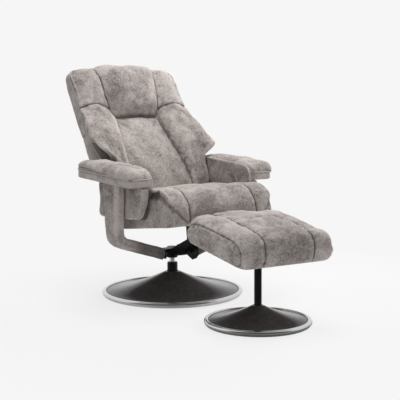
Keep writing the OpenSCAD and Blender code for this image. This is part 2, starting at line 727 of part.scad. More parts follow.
// Wings: rows of [height, outer half width, crest, tip] shares along the back
wing_shares = [
    [-0.029, 0.87, 0.2, 0.1], [-0.02, 0.875, 0.3, 0.28], [0, 0.88, 0.36, 0.4], [0.1, 0.88, 0.46, 0.6],
    [0.2, 0.88, 0.56, 0.84], [0.24, 0.89, 0.6, 0.9], [0.252, 1.03, 0.62, 0.95], [0.262, 1.085, 0.64, 1],
    [0.28, 1.095, 0.66, 1], [0.32, 1.08, 0.62, 0.88], [0.4, 1.055, 0.5, 0.65], [0.5, 1.03, 0.36, 0.36], [0.6, 1.015, 0.26, 0.12],
    [0.655, 1.005, 0.18, -0.02], [0.67, 1.005, 0.2, 0], [0.75, 1, 0.2, -0.02], [0.85, 0.99, 0.16, -0.06],
    [0.93, 1, 0.12, -0.12], [0.955, 0.985, 0.1, -0.14], [0.972, 0.945, 0.04, -0.2], [0.984, 0.86, -0.12, -0.3],
    [0.992, 0.7, -0.4, -0.42]];
module wing(side) {
    color(suede) in_back() scale_side(side) skin([for (row = wing_shares) let (
        half_in = panel_half(row[0]) + soft_gap / 2,
        out = min(row[1] * back_half_w, row[0] < shell_neck_share ? back_neck_half_w : back_half_w * 2),
        z = max(back_low_w, row[0] * back_h),
        crest = -row[2] * wing_reach,
        tip = -row[3] * wing_reach,
        side_y = mix(tip, piping_depth, 0.45),
        seam_y = cushion_roll - head_swell
            * min(table(row[0] < 0.6 ? middle_front_shares : head_front_shares, row[0]), 0.12))
        [for (p = soften([
            [half_in, piping_depth], [half_in, min(seam_y, piping_depth - cushion_edge)],
            [mix(half_in, out, 0.3), crest], [mix(half_in, out, 0.86), tip],
            [out, mix(tip, side_y, 0.3)], [out, side_y], [min(out, back_half_w), piping_depth]]))
            [max(half_in, p[0]), min(piping_depth, p[1]), z]]]);
}
module wing_left() { wing(-1); }
module wing_right() { wing(1); }

// Footstool
module stool_floor_pad() {
    color(black_steel) in_stool()
        cylinder(r = stool_base_r - base_ring_w - 2 * rim_round, h = floor_pad_t, $fn = 96);
}
module stool_base_plate() {
    color(black_steel) in_stool() translate([0, 0, floor_pad_t])
        cylinder(r = stool_base_r - base_ring_w, h = base_plate_t, $fn = 96);
}
module stool_base_ring() {
    color(chrome) in_stool() disc_rim(stool_base_r);
}
module stool_base_cover() {
    color(suede_dark) in_stool() disc_cover(stool_base_r - base_ring_w, stool_column_r + cover_t * 2,
        stool_column_r, stool_cover_top, base_ring_h - cover_edge_drop);
}
module stool_column() {
    color(black_steel) in_stool() translate([0, 0, base_deck_z])
        cylinder(r = stool_column_r, h = stool_z - stool_boss_h / 2 - base_deck_z, $fn = round_steps);
}
module stool_bracket() {
    top = stool_z - stool_boss_h / 2;
    color(black_steel) difference() {
        union() {
            in_stool_pad() translate([-stool_plate_w / 2, -stool_plate_w / 2, -stool_plate_t])
                cube([stool_plate_w, stool_plate_w, stool_plate_t]);
            in_stool() translate([0, 0, stool_z - stool_boss_h])
                cylinder(r = stool_boss_r, h = stool_boss_h - stool_plate_t, $fn = round_steps);
        }
        in_stool() translate([0, 0, stool_z - stool_boss_h - overrun])
            cylinder(r = stool_column_r, h = stool_boss_h / 2 + overrun, $fn = round_steps);
        stool_screw_places() translate([0, 0, -overrun])
            cylinder(r = stool_screw_r, h = stool_plate_t + 2 * overrun, $fn = round_steps);
    }
}
module stool_screw_places() {
    in_stool_pad() for (sx = [-0.38, 0.38], sy = [-0.38, 0.38])
        translate([sx * stool_plate_w, sy * stool_plate_w, -stool_plate_t]) children();
}
module stool_screws() {
    color(chrome) stool_screw_places() union() {
        cylinder(r = stool_screw_r, h = stool_plate_t, $fn = round_steps);
        translate([0, 0, -stool_screw_r]) cylinder(r = stool_screw_head_r, h = stool_screw_r, $fn = round_steps);
    }
}
module stool_board() {
    color(plywood) in_stool_pad() linear_extrude(stool_board_t) polygon(round_rect(
        stool_w - 2 * stool_board_inset, stool_d - 2 * stool_board_inset, stool_board_inset, 6));
}
stool_profile_shares = [[-0.47, 0], [-0.5, 0.1], [-0.51, 0.35], [-0.5, 0.6], [-0.46, 0.8], [-0.36, 0.95],
    [0, 1], [0.36, 0.95], [0.46, 0.8], [0.5, 0.6], [0.51, 0.35], [0.5, 0.1], [0.47, 0]];
stool_station_shares = [0, 0.01, 0.04, 0.09, 0.16, 0.25, 0.36, 0.44, 0.5, 0.56, 0.64, 0.8, 1];
module stool_cushion() {
    half = stool_w / 2;
    xs = concat([for (s = stool_station_shares) -half * (1 - s)],
        [for (i = [len(stool_station_shares) - 2:-1:0]) half * (1 - stool_station_shares[i])]);
    outline = soften(stool_profile_shares);
    color(suede) in_stool_pad() difference() {
        skin([for (x = xs) let (
            e = end_inset(x, half, stool_round),
            dip = channel(x, stool_seam_x, stool_channel_w, stool_channel),
            crown = stool_crown * (1 - pow(x / half, 2)))
            [for (p = outline) let (
                up = clamp01((p[1] - 0.1) / 0.5),
                valley = stool_valley * max(0, 1 - abs(p[0] - 0.06) / 0.16) * up)
                [x, p[0] * (stool_d - stool_corner_share * e) + (p[0] > 0 ? -dip : dip) * 0.4,
                    p[1] * (stool_cushion_h + stool_board_t) + up * (crown - dip - e * 0.9)
                        + (1 - up) * e * stool_lift_share - valley]]]);
        translate([0, 0, -overrun]) linear_extrude(stool_board_t + overrun) polygon(round_rect(
            stool_w - 2 * stool_board_inset, stool_d - 2 * stool_board_inset, stool_board_inset, 6));
    }
}

base_floor_pad();
base_plate();
base_ring();
base_cover();
column_sleeve();
column_bush_top();
column_bush_bottom();
column_thrust_pad();
column_spindle();
hub_bracket();
hub_bolts();
mech_plate_left();
mech_plate_right();
spring_housing();
tilt_shaft();
tilt_shaft_nuts();
arm_frame_left();
arm_frame_right();
armrest_base_left();
armrest_base_right();
armrest_pad_left();
armrest_pad_right();
arm_panel_left();
arm_panel_right();
arm_spacers();
tension_knob();
knob_spindle();
seat_board();
seat_border();
seat_cushion();
seat_bracket();
tilt_bushes();
seat_hinge_ears();
hinge_pins();
back_board();
back_hinge_ears();
back_shell();
back_cushion();
headrest_cushion();
wing_left();
wing_right();
stool_floor_pad();
stool_base_plate();
stool_base_ring();
stool_base_cover();
stool_column();
stool_bracket();
stool_screws();
stool_board();
stool_cushion();
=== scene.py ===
import json
import bpy
import numpy as np
from mathutils import Matrix, Vector


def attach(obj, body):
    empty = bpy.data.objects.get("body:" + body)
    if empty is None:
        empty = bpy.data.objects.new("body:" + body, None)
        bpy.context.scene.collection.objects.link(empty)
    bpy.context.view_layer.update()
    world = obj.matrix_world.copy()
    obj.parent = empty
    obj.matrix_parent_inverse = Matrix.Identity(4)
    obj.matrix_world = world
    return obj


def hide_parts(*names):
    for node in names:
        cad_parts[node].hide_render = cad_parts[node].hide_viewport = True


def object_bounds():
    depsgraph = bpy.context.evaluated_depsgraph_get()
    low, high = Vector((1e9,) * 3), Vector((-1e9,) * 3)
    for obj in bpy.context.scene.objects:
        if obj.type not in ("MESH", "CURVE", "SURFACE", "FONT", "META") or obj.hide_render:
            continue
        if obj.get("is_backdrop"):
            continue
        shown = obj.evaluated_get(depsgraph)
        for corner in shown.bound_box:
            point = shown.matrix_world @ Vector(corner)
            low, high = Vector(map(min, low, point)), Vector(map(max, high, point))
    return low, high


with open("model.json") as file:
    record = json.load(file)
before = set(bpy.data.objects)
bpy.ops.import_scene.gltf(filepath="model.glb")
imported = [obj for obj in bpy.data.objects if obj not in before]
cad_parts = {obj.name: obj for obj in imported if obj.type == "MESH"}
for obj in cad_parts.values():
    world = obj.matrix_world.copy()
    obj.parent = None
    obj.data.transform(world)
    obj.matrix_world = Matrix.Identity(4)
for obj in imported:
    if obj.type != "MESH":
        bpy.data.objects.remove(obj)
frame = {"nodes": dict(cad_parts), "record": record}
cad_low, cad_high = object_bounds()
scene = bpy.context.scene

# Shapes are worked out in millimetres in each part's own frame, as in the part's source,
# and turned to metres in the row frame when they become a mesh.
MM = 0.001

# Frames of the parts: tilt about X and then turn about Z in degrees, and the place of the origin
ARM_SLOPE, ARM_Z = 3, 503
IN_SEAT, IN_BACK, IN_ARMREST = (-7, 0, (0, 0, 302)), (-32, 0, (0, 69, 455)), (ARM_SLOPE, 0, (0, 0, ARM_Z))
IN_STOOL, IN_STOOL_PAD, IN_ROW = (0, 0, (-56, -636, 0)), (8, -5, (-56, -636, 272)), (0, 0, (0, 0, 0))


def placed(points, place):
    """Points turned about X (y' = y cos - z sin, z' = y sin + z cos), about Z (x' = x cos - y sin,
    y' = x sin + y cos) and moved, from a part's frame to the row frame."""
    tilt, turn, origin = place
    x, y, z = np.moveaxis(points, -1, 0)
    c, s = np.cos(np.radians(tilt)), np.sin(np.radians(tilt))
    y, z = c * y - s * z, s * y + c * z
    c, s = np.cos(np.radians(turn)), np.sin(np.radians(turn))
    return np.stack([c * x - s * y, s * x + c * y, z], -1) + origin


# Curves and grids
def curve(rows, t):
    """Values at t of a table of [place, value, ...] rows: a cubic between rows whose slopes are
    the weighted harmonic means of the neighbouring slopes, so that it never overshoots."""
    rows = np.asarray(rows, float)
    x, t = rows[:, 0], np.asarray(t, float)
    h = np.diff(x)
    i = np.clip(np.searchsorted(x, t, side="right") - 1, 0, len(x) - 2)
    s = np.clip((t - x[i]) / h[i], 0, 1)
    found = []
    for y in rows[:, 1:].T:
        d = np.diff(y) / h
        a, b = 2 * h[1:] + h[:-1], h[1:] + 2 * h[:-1]
        same = d[:-1] * d[1:] > 0
        low, high = np.where(same, d[:-1], 1), np.where(same, d[1:], 1)
        m = np.concatenate([[d[0]], np.where(same, (a + b) / (a / low + b / high), 0), [d[-1]]])
        found.append((2 * s**3 - 3 * s**2 + 1) * y[i] + (s**3 - 2 * s**2 + s) * h[i] * m[i]
                     + (3 * s**2 - 2 * s**3) * y[i + 1] + (s**3 - s**2) * h[i] * m[i + 1])
    return found[0] if len(found) == 1 else found


def spaced(low, high, coarse, seams, fine, reach):
    """Places from low to high, coarse apart and fine apart at each seam: equal steps of the sum
    of the density that is wanted."""
    x = np.linspace(low, high, 4001)
    density = 1 / coarse + sum(np.exp(-((x - s) / reach) ** 2) for s in seams) / fine
    total = np.concatenate([[0], np.cumsum((density[1:] + density[:-1]) / 2 * np.diff(x))])
    return np.interp(np.linspace(0, total[-1], int(np.ceil(total[-1])) + 1), total, x)


def soften(loop, passes):
    """Corner cutting of closed loops: each side gives its quarter and three-quarter points."""
    for _ in range(passes):
        ahead = np.roll(loop, -1, axis=-2)
        both = np.stack([0.75 * loop + 0.25 * ahead, 0.25 * loop + 0.75 * ahead], axis=-2)
        loop = both.reshape(*loop.shape[:-2], -1, loop.shape[-1])
    return loop


def even(loop, count):
    """A closed loop again, as count points at equal distances along it."""
    closed = np.vstack([loop, loop[:1]])
    s = np.concatenate([[0], np.cumsum(np.linalg.norm(np.diff(closed, axis=0), axis=1))])
    at = np.linspace(0, s[-1], count, endpoint=False)
    return np.stack([np.interp(at, s, closed[:, k]) for k in range(loop.shape[1])], 1)


def rounded(rows, size, count):
    """An outline drawn by corner points in shares of a size, softened and evenly divided."""
    return even(soften(np.array(rows, float), 2) * size, count) / size


def spots(x, y, z):
    """Points from arrays or plain numbers for x, y and z."""
    return np.stack(np.broadcast_arrays(x, y, z), -1)


def bell(distance, width):
    """1 at distance 0, falling off as a bell curve."""
    return np.exp(-((distance / width) ** 2))


def ramp(value, start, end):
    """0 before start, 1 after end, smooth between. It falls where end is below start."""
    t = np.clip((value - start) / (end - start), 0, 1)
    return t * t * (3 - 2 * t)


def mix(a, b, share):
    return a + (b - a) * share


def ripple(points, wave, seed, waves=14):
    """A smooth random field over space: the mean of plane waves of about one wavelength, in
    directions drawn from a seeded generator."""
    draw = np.random.default_rng(seed)
    way = draw.normal(size=(waves, 3))
    way *= (2 * np.pi / wave * draw.uniform(0.7, 1.3, waves) / np.linalg.norm(way, axis=1))[:, None]
    phase = draw.uniform(0, 2 * np.pi, waves)
    return np.cos(points @ way.T + phase).sum(-1) / np.sqrt(waves / 2)


def outward(grid):
    """Unit normals of a grid that is closed along its columns: the cross product of the steps
    around and along, turned to point away from the middle."""
    along = np.gradient(grid, axis=0)
    around = np.roll(grid, -1, 1) - np.roll(grid, 1, 1)
    n = np.cross(around, along)
    n /= np.maximum(np.linalg.norm(n, axis=-1, keepdims=True), 1e-9)
    away = grid - grid.mean(axis=(0, 1))
    return n if (n * away).sum() > 0 else -n


def pushed(grid, amount):
    """The grid with each point moved along its normal by an amount in mm."""
    return grid + outward(grid) * amount[..., None]


def moved_in(loop, core, inset):
    """A loop drawn in towards its core by a distance in mm, stopping just before the core."""
    way = loop - core
    far = np.maximum(np.linalg.norm(way, axis=1, keepdims=True), 1e-6)
    return core + way * np.maximum(0.02, (far - inset) / far)


def mirrored(grid):
    return grid * [-1, 1, 1]


def across_piece(ring, flat, seam, ends):
    """Rings across a piece that is alike on both sides: its ends, and between them plain rings
    that lie closer together at its two channels."""
    rings = [ring(x, 0, 0) for x in spaced(-flat, flat, 7, (-seam, seam), 1.7, 9)]
    return np.stack([mirrored(end) for end in ends[::-1]] + rings + ends)


# Low folds of each piece, as rows of height and wavelength in mm, and seed
FOLDS = {
    "seat": ((1.8, 140, 5), (0.7, 60, 6)), "middle": ((2.2, 150, 11), (0.8, 62, 12)),
    "head": ((2.0, 130, 21), (0.7, 55, 22)), "wing": ((2.2, 130, 31), (0.8, 58, 32)),
    "shell": ((1.6, 160, 41), (0.5, 60, 42)), "band": ((0.9, 70, 51), (0.5, 30, 52)),
    "panel": ((1.2, 90, 54), (0.48, 45, 55)), "skin": ((1.2, 90, 57), (0.48, 45, 58)),
    "pad": ((1.7, 110, 61), (0.7, 48, 62)), "bar": ((0.9, 70, 71),), "stool": ((2.4, 130, 81), (0.9, 56, 82))}
# Short puckers along a line: height, reach from the line, wavelength, seed, and how much x, y and z
# count. The reach is a share of the back's height where the distance is one too.
PUCKERS = {
    "seat": (0.9, 30, 26, 3, (0.25, 1, 1)),
    "middle": (0.9, 26, 24, 13, (1, 1, 0.7)), "middle_end": (0.6, 0.045, 30, 14, (1, 0.3, 0.25)),
    "head": (0.8, 26, 24, 23, (1, 1, 0.7)), "head_end": (0.5, 0.05, 28, 24, (1, 0.3, 0.25)),
    "wing_cross": (1.1, 26, 22, 33, (1, 0.8, 0.25)), "wing_inner": (0.8, 22, 24, 34, (1, 1, 1)),
    "wing_tip": (1.3, 0.08, 46, 35, (0.5, 1, 1)), "pad": (0.9, 14, 22, 63, (1, 1, 0.3)),
    "bend": (0.9, 70, 26, 72, (1, 0.25, 1)), "stool": (1.1, 28, 24, 83, (0.3, 1, 1))}
# Sewn grooves, each a wide and a narrow one, as rows of depth and width in mm
GROOVES = {
    "seat": ((6, 11), (3, 2.2)), "wing": ((2.6, 7), (1.8, 2.2)), "shell": ((2.2, 7), (1.8, 2.4)),
    "stool": ((5.5, 12), (3, 2.2)), "stool_end": ((2, 7), (2, 2.4))}


def folds(grid, title):
    """The sum of a piece's random fields."""
    return sum(height * ripple(grid, wave, seed) for height, wave, seed in FOLDS[title])


def puckers(grid, distance, title):
    """A random field that fades with the distance from a line."""
    height, reach, wave, seed, stretch = PUCKERS[title]
    return height * bell(distance, reach) * ripple(grid * stretch, wave, seed)


def groove(distance, title):
    """Depth of a seam's grooves at a distance from it."""
    return sum(depth * bell(distance, width) for depth, width in GROOVES[title])


# Meshes
def new_mesh(name, points, faces, place):
    """A smooth-shaded mesh object at the origin, its points placed in the row frame. The faces
    are turned round if the volume they close comes out below zero."""
    points = placed(np.asarray(points, float), place) * MM
    a, b, c = (points[[f[k] for f in faces]] for k in range(3))
    if (a * np.cross(b, c)).sum() < 0:
        faces = [f[::-1] for f in faces]
    mesh = bpy.data.meshes.new(name)
    mesh.from_pydata(points.tolist(), [], faces)
    mesh.polygons.foreach_set("use_smooth", np.ones(len(faces), bool))
    mesh.update()
    thing = bpy.data.objects.new(name, mesh)
    scene.collection.objects.link(thing)
    return thing


def ring_faces(rows, cols):
    """Quads between rings of points, each ring's last point joined to its first."""
    i, j = np.meshgrid(np.arange(rows - 1), np.arange(cols), indexing="ij")
    k = (j + 1) % cols
    quads = np.stack([i * cols + j, i * cols + k, (i + 1) * cols + k, (i + 1) * cols + j], -1)
    return quads.reshape(-1, 4).tolist()


def closed_faces(rows, cols):
    """Ring faces and a fan over each end, round a pole kept after the grid's points."""
    first, last = rows * cols, rows * cols + 1
    top = (rows - 1) * cols
    fans = [[first, (j + 1) % cols, j] for j in range(cols)]
    fans += [[last, top + j, top + (j + 1) % cols] for j in range(cols)]
    return ring_faces(rows, cols) + fans


def closed_points(grid):
    """The grid's points and the two poles, each the mean of its end ring."""
    return np.concatenate([grid.reshape(-1, 3), grid[:1].mean(1), grid[-1:].mean(1)])


def paint(thing, name, values):
    """A number on every point, for the material to read."""
    spot = thing.data.attributes.new(name, "FLOAT", "POINT")
    spot.data.foreach_set("value", np.asarray(values, np.float32).ravel())


# Reach in mm over which a surface's bend is measured, and the radius in mm that counts as 1
CREST_REACH, CREST_RADIUS = 15, 25


def crests(grid):
    """How much the surface bends over about the reach, along the rings and across them: twice a
    point's height over the middle of the two points beside it, divided by the square of half
    their distance. Above 0 on crests and below 0 in hollows."""
    normal = outward(grid)
    total, weight = np.zeros(grid.shape[:2]), np.full(grid.shape[:2], 1e-6)
    for step in (1, 2, 3, 5, 8):
        wide = np.pad(grid, ((step, step), (0, 0), (0, 0)), mode="edge")
        around = np.roll(grid, -step, 1), np.roll(grid, step, 1)
        for ahead, behind in (around, (wide[2 * step:], wide[:-2 * step])):
            half = np.linalg.norm(ahead - behind, axis=-1) / 2
            rise = ((grid - (ahead + behind) / 2) * normal).sum(-1)
            share = bell(half - CREST_REACH, CREST_REACH / 2)
            total += share * 2 * rise / np.maximum(half, 1) ** 2
            weight += share
    return total / weight


def solid(name, grid, place, crease_and_shade=None):
    """A closed piece over a grid of rings. Its dark seam lines and its painted shade are painted as the
    attribute crease, and its crests and hollows as the attribute crest, which the cloth turns into painted
    light and shade."""
    rows, cols = grid.shape[:2]
    thing = new_mesh(name, closed_points(grid), closed_faces(rows, cols), place)
    dark = np.zeros((rows, cols)) if crease_and_shade is None else np.clip(crease_and_shade, 0, 1.5)
    # The bend is painted into the cloth's colour: painted light on crests and painted shade in hollows
    bend = np.clip(CREST_RADIUS * crests(grid), -1, 1)
    for title, values in (("crease_and_shade", dark), ("crest", bend)):
        paint(thing, title, np.concatenate([values.ravel(), [values[0].mean(), values[-1].mean()]]))
    return thing


def hoop(name, grid, place, shift=0):
    """A closed ring of loops: the last loop joins the first, shift points further on."""
    rows, cols = grid.shape[:2]
    j, last = np.arange(cols), (rows - 1) * cols
    k = (j + 1) % cols
    join = np.stack([last + j, last + k, (k + shift) % cols, (j + shift) % cols], -1)
    thing = new_mesh(name, grid.reshape(-1, 3), ring_faces(rows, cols) + join.tolist(), place)
    paint(thing, "crease_and_shade", np.zeros(rows * cols))
    return thing


def swept(name, path, radius, place, closed=False):
    """A round cord along a path: rings of the given radius, each square to the path, turned as
    little as possible from one to the next."""
    ahead = np.roll(path, -1, 0) - np.roll(path, 1, 0) if closed else np.gradient(path, axis=0)
    ahead /= np.linalg.norm(ahead, axis=1, keepdims=True)
    side = np.zeros_like(path)
    start = np.cross(ahead[0], [0.3, 0.2, 1.0])
    side[0] = start / np.linalg.norm(start)
    for i in range(1, len(path)):
        s = side[i - 1] - ahead[i] * (side[i - 1] @ ahead[i])
        side[i] = s / np.linalg.norm(s)
    up = np.cross(ahead, side)
    a = np.linspace(0, 2 * np.pi, 12, endpoint=False)[:, None]
    grid = path[:, None] + radius * (np.cos(a) * side[:, None] + np.sin(a) * up[:, None])
    if closed:
        nearest = np.argmin(np.linalg.norm(grid[0] - grid[-1][:1], axis=1))
        return hoop(name, grid, place, int(nearest))
    return solid(name, grid, place)


def lathed(name, profile, place, steps):
    """A closed profile of [radius, height] points turned round Z."""
    a = np.linspace(0, 2 * np.pi, steps, endpoint=False)[:, None]
    r, z = profile.T
    return hoop(name, spots(np.cos(a) * r, np.sin(a) * r, z), place)


# Puffing the cushions
CLOTH_FRAMES = 20
CLOTH = {
    "quality": 5, "mass": 0.3, "tension_stiffness": 12, "compression_stiffness": 12, "shear_stiffness": 12,
    "bending_stiffness": 0.6, "use_pressure": True, "uniform_pressure_force": 4, "vertex_group_mass": "held"}
cushions = {}


def cushion(name, grid, held, cap, detail, place):
    """Keeps a cushion's starting grid, the points that its seams hold, the most that a point may
    move in mm, and the function that adds seams and folds after the simulation."""
    cushions[name] = dict(grid=grid, held=held, cap=cap, detail=detail, place=place)


def puff_all():
    """One cloth simulation of every cushion at the same time, in its own frame, by inner
    pressure and without gravity. A point moves by cap * tanh(distance / cap) at most."""
    made = []
    for name, c in cushions.items():
        faces = closed_faces(*c["grid"].shape[:2])
        thing = new_mesh(name + "_cloth", closed_points(c["grid"]), faces, IN_ROW)
        group = thing.vertex_groups.new(name="held")
        held = np.concatenate([c["held"].ravel(), [True, True]])
        group.add(np.flatnonzero(held).tolist(), 1.0, "REPLACE")
        cloth = thing.modifiers.new("cloth", "CLOTH")
        for title, value in CLOTH.items():
            setattr(cloth.settings, title, value)
        cloth.settings.effector_weights.gravity = 0
        cloth.collision_settings.use_collision = False
        cloth.collision_settings.use_self_collision = False
        cloth.point_cache.frame_start, cloth.point_cache.frame_end = 1, CLOTH_FRAMES
        made.append((c, thing))
    for step in range(1, CLOTH_FRAMES + 1):
        scene.frame_set(step)
    seen = bpy.context.evaluated_depsgraph_get()
    for c, thing in made:
        mesh = thing.evaluated_get(seen).data
        found = np.empty(len(mesh.vertices) * 3, np.float32)
        mesh.vertices.foreach_get("co", found)
        found = found.reshape(-1, 3)[:-2].reshape(c["grid"].shape).astype(float) / MM
        move = found - c["grid"]
        far = np.maximum(np.linalg.norm(move, axis=-1, keepdims=True), 1e-9)
        c["grid"] = c["grid"] + move * (c["cap"] * np.tanh(far / c["cap"]) / far)
    for c, thing in made:
        bpy.data.objects.remove(thing)
    scene.frame_set(1)


def finished(name, title=None, flip=False):
    """The cushion's piece: its puffed grid with the seams and folds added."""
    c = cushions[name]
    if "done" not in c:
        c["done"] = c["detail"](c["grid"])
    grid, crease_and_shade = c["done"]
    return solid(title or name, mirrored(grid) if flip else grid, c["place"], crease_and_shade)


# Seat: half width, rear end, depth, distance of the channels and of the middle line that closes a side
SEAT_HALF, SEAT_REAR, SEAT_DEPTH, SEAT_SEAM, SEAT_MIDDLE = 236, 48, 400, 158, 74
# How much wider the front is on each side, and the shares of the depth where this begins and ends
SEAT_FLARE, FLARE_FROM, FLARE_TO = 10, 0.78, 0.92
# Crown of the top, radius of the ends, and how far the front and the top draw in there
SEAT_CROWN, SEAT_ROUND, SEAT_DRAWN = 8, 8, (5.46, 4.55)
# Bulge of a side face, and its rings as shares of the way to the middle line
SEAT_BULGE, SEAT_CAPS = 1.5, (0.1, 0.22, 0.36, 0.52, 0.7, 0.86, 0.96)
# The side outline as [share of the depth, height] corners, from the rear over the top and back below
SEAT_PROFILE = [
    [0.02, 0], [0, 6], [0, 40], [0, 96], [0.004, 130], [0.04, 144], [0.2, 147], [0.4, 148], [0.62, 149],
    [0.78, 149], [0.88, 144], [0.95, 130], [1.01, 108], [1.05, 78], [1.062, 50], [1.06, 26],
    [1.045, 8], [1.02, 0.5], [0.9, 0], [0.6, 0], [0.3, 0]]


def flare(y):
    """How much wider the seat is at a depth: towards its front it grows by a few per cent."""
    return 1 + SEAT_FLARE / SEAT_HALF * ramp((SEAT_REAR - y) / SEAT_DEPTH, FLARE_FROM, FLARE_TO)


def seat_grid():
    """The seat's side outline carried across its width. Within the end radius of a side the
    outline draws in as a quarter circle, and the side face closes on the outline's own middle
    line with a low crown."""
    s, z = rounded(SEAT_PROFILE, [SEAT_DEPTH, 1], 190).T
    flat = SEAT_HALF - SEAT_ROUND
    up = ramp(z, 45, 115)
    line = SEAT_REAR - SEAT_DEPTH * FLARE_FROM, SEAT_REAR - 70

    def ring(x, shrink, roll):
        y = SEAT_REAR - s * SEAT_DEPTH
        y = mix(y, np.clip(y, *line), shrink)
        height = mix(z + up * SEAT_CROWN * (1 - (x / SEAT_HALF) ** 2), SEAT_MIDDLE, shrink)
        drawn = y + SEAT_DRAWN[0] * roll * ramp(s, 0.85, 1)
        return spots(x * flare(y), drawn, height - up * SEAT_DRAWN[1] * roll)

    side = [ring(flat + SEAT_ROUND * k, 0, 1 - np.sqrt(1 - k * k)) for k in np.linspace(0.12, 1, 8)]
    caps = [ring(SEAT_HALF + SEAT_BULGE * np.sin(np.pi * k), k, 1) for k in SEAT_CAPS]
    return across_piece(ring, flat, SEAT_SEAM, side + caps)


# The top edge of the border along each side of the seat, as [y, z] points from rear to front
SIDE_SEAM = [[60, 112], [-200, 112], [-296, 111], [-310, 107], [-326, 97], [-345, 83], [-373, 62],
             [-400, 45], [-430, 27]]
# The same edge on over the front at each corner, as [distance from the middle, z] points
FRONT_SEAM = [[256, 92], [241, 76], [229, 60], [217, 45], [199, 30], [180, 17], [160, 6]]


def beside(y, z, line):
    """Distance of points from a polyline, above 0 on its left as it is walked and below 0 on its
    right."""
    best, signed = np.full(y.shape, 1e9), np.zeros(y.shape)
    for (y0, z0), (y1, z1) in zip(line[:-1], line[1:]):
        dy, dz = y1 - y0, z1 - z0
        s = np.clip(((y - y0) * dy + (z - z0) * dz) / (dy * dy + dz * dz), 0, 1)
        far = np.hypot(y - y0 - s * dy, z - z0 - s * dz)
        left = np.sign(dy * (z - z0) - dz * (y - y0))
        signed = np.where(far < best, far * left, signed)
        best = np.minimum(far, best)
    return signed


def seat_detail(grid):
    """Two sewn channels along the seat, the border's top edge along each side with the cushion set back over
    it and rolling out in front of it, short puckers, and low folds. The set-back side wall is painted dark:
    painted shade under the armrest. The other marks are dark seam lines."""
    x, y, z = np.moveaxis(grid, -1, 0)
    flat = np.abs(x / flare(y))
    off = np.abs(flat - SEAT_SEAM)
    shown = ramp(z, 4, 18)
    side_face = ramp(flat, SEAT_HALF - 10, SEAT_HALF - 2)
    seam = -beside(y, z, SIDE_SEAM)
    rear = ramp(y - 1.2 * (z - 112), -345, -283)
    back_set = side_face * rear * ramp(seam, -1, 8)
    fold = side_face * (4 * bell(seam, 6) - 4.5 * (1 - rear) * bell(seam - 28, 20)) + 10 * back_set
    corner = ramp(y, -336, -352) * ramp(flat, SEAT_SEAM + 2, SEAT_SEAM + 16)
    under = beside(np.abs(x), z, FRONT_SEAM)
    fold += corner * (3.5 * bell(under, 6) + 2.5 * ramp(under, 0, 14) - 4 * bell(under + 30, 20))
    inner = ramp(z, 20, 60) * (1 - side_face * bell(z - SEAT_MIDDLE, 13))
    amount = folds(grid, "seat") * inner + (puckers(grid, off, "seat") - groove(off, "seat")) * shown - fold
    sewn = bell(off, 3.4) * shown, 0.8 * side_face * bell(seam, 6) * (0.7 + 0.3 * rear)
    # Painted shade: the side wall set back over the border is painted dark, as it lies in shade under the
    # armrest
    return pushed(grid, amount), np.maximum.reduce([*sewn, 0.9 * corner * bell(under, 5), 1.4 * back_set])


# Back: height, depths of the cushions' flat rear and of the piping, how far the cushions' edges stop
# before the rear, and the rear's columns of points
BACK_H, BACK_PIPING, PIPE_Y, CUSHION_EDGE, REAR_COLUMNS = 612, 38, 24, 4, 14

# Rows of [height share, half width, depth] of the seams beside the middle cushions
SEAM = [
    [-0.03, 154, -18], [0.1, 150, -16], [0.2, 145, -12], [0.3, 136, -4], [0.39, 128, 3.5], [0.44, 123, 8],
    [0.49, 119, 13], [0.545, 117.5, 22], [0.598, 117, 32], [0.62, 121, 25], [0.654, 126, 18], [0.7, 131, 8],
    [0.8, 137, -7], [0.85, 139, -13], [0.9, 141, -16], [0.93, 146, -13], [0.965, 151, -7], [0.99, 153, 1],
    [1.024, 155, 24]]
# Rows of [height share, depth] of the two cushions' middle lines
MIDDLE_FRONT = [
    [-0.03, 4], [-0.02, -8], [0, -16], [0.1, -20], [0.3, -13], [0.44, -4], [0.5, 2], [0.56, 11],
    [0.58, 17], [0.59, 24], [0.598, 34]]
HEAD_FRONT = [
    [0.594, 34], [0.5965, 24], [0.602, 12], [0.612, 3], [0.632, -7], [0.67, -20], [0.78, -36],
    [0.85, -40], [0.93, -40], [0.965, -37], [0.985, -31], [1.006, -18], [1.018, -5], [1.024, 16]]


def front_grid(places, centre):
    """A cushion between its two seams: at each height a front line that falls from the middle to
    the seams, gently and then as a quarter ellipse, and a flat rear."""
    t = places / BACK_H
    half, seam_y = curve(SEAM, t)
    half = (half * (1 - 0.12 * ramp(t, 0.98, 1.024)))[:, None] + 1
    u = spaced(-1, 1, 0.055, (-1, 1), 0.012, 0.05)
    far = np.abs(u)
    fall = 0.3 * far**2.2 + 0.7 * (1 - np.sqrt(1 - 0.9999 * far**5))
    mid, edge = curve(centre, t)[:, None], BACK_PIPING - CUSHION_EDGE
    y = np.minimum(mid + (np.minimum(seam_y + 6, edge)[:, None] - mid) * fall, edge)
    front = spots(u * half, y, places[:, None])
    rear = spots(np.linspace(1, -1, REAR_COLUMNS) * half, BACK_PIPING - 1, places[:, None])
    return np.concatenate([front, rear], 1)


def front_detail(title, end, cross, sewn):
    """Low folds over a middle cushion, short puckers along its side seams and near its end, and
    dark lines along the cross seam and the side seams, each with its place or strength and its
    width."""
    def detail(grid):
        x, y, z = np.moveaxis(grid, -1, 0)
        t = z / BACK_H
        edge = curve(SEAM, t)[0] - np.abs(x)
        front = ramp(y, BACK_PIPING - 6, BACK_PIPING - 16)
        amount = folds(grid, title) * ramp(edge, 0, 25) + puckers(grid, edge, title)
        amount += puckers(grid, t - end, title + "_end")
        sides = sewn[0] * bell(edge, sewn[1]) * ramp(t, 0.985, 0.965)
        return pushed(grid, amount * front), np.maximum(sides, bell(t - cross[0], cross[1])) * front
    return detail


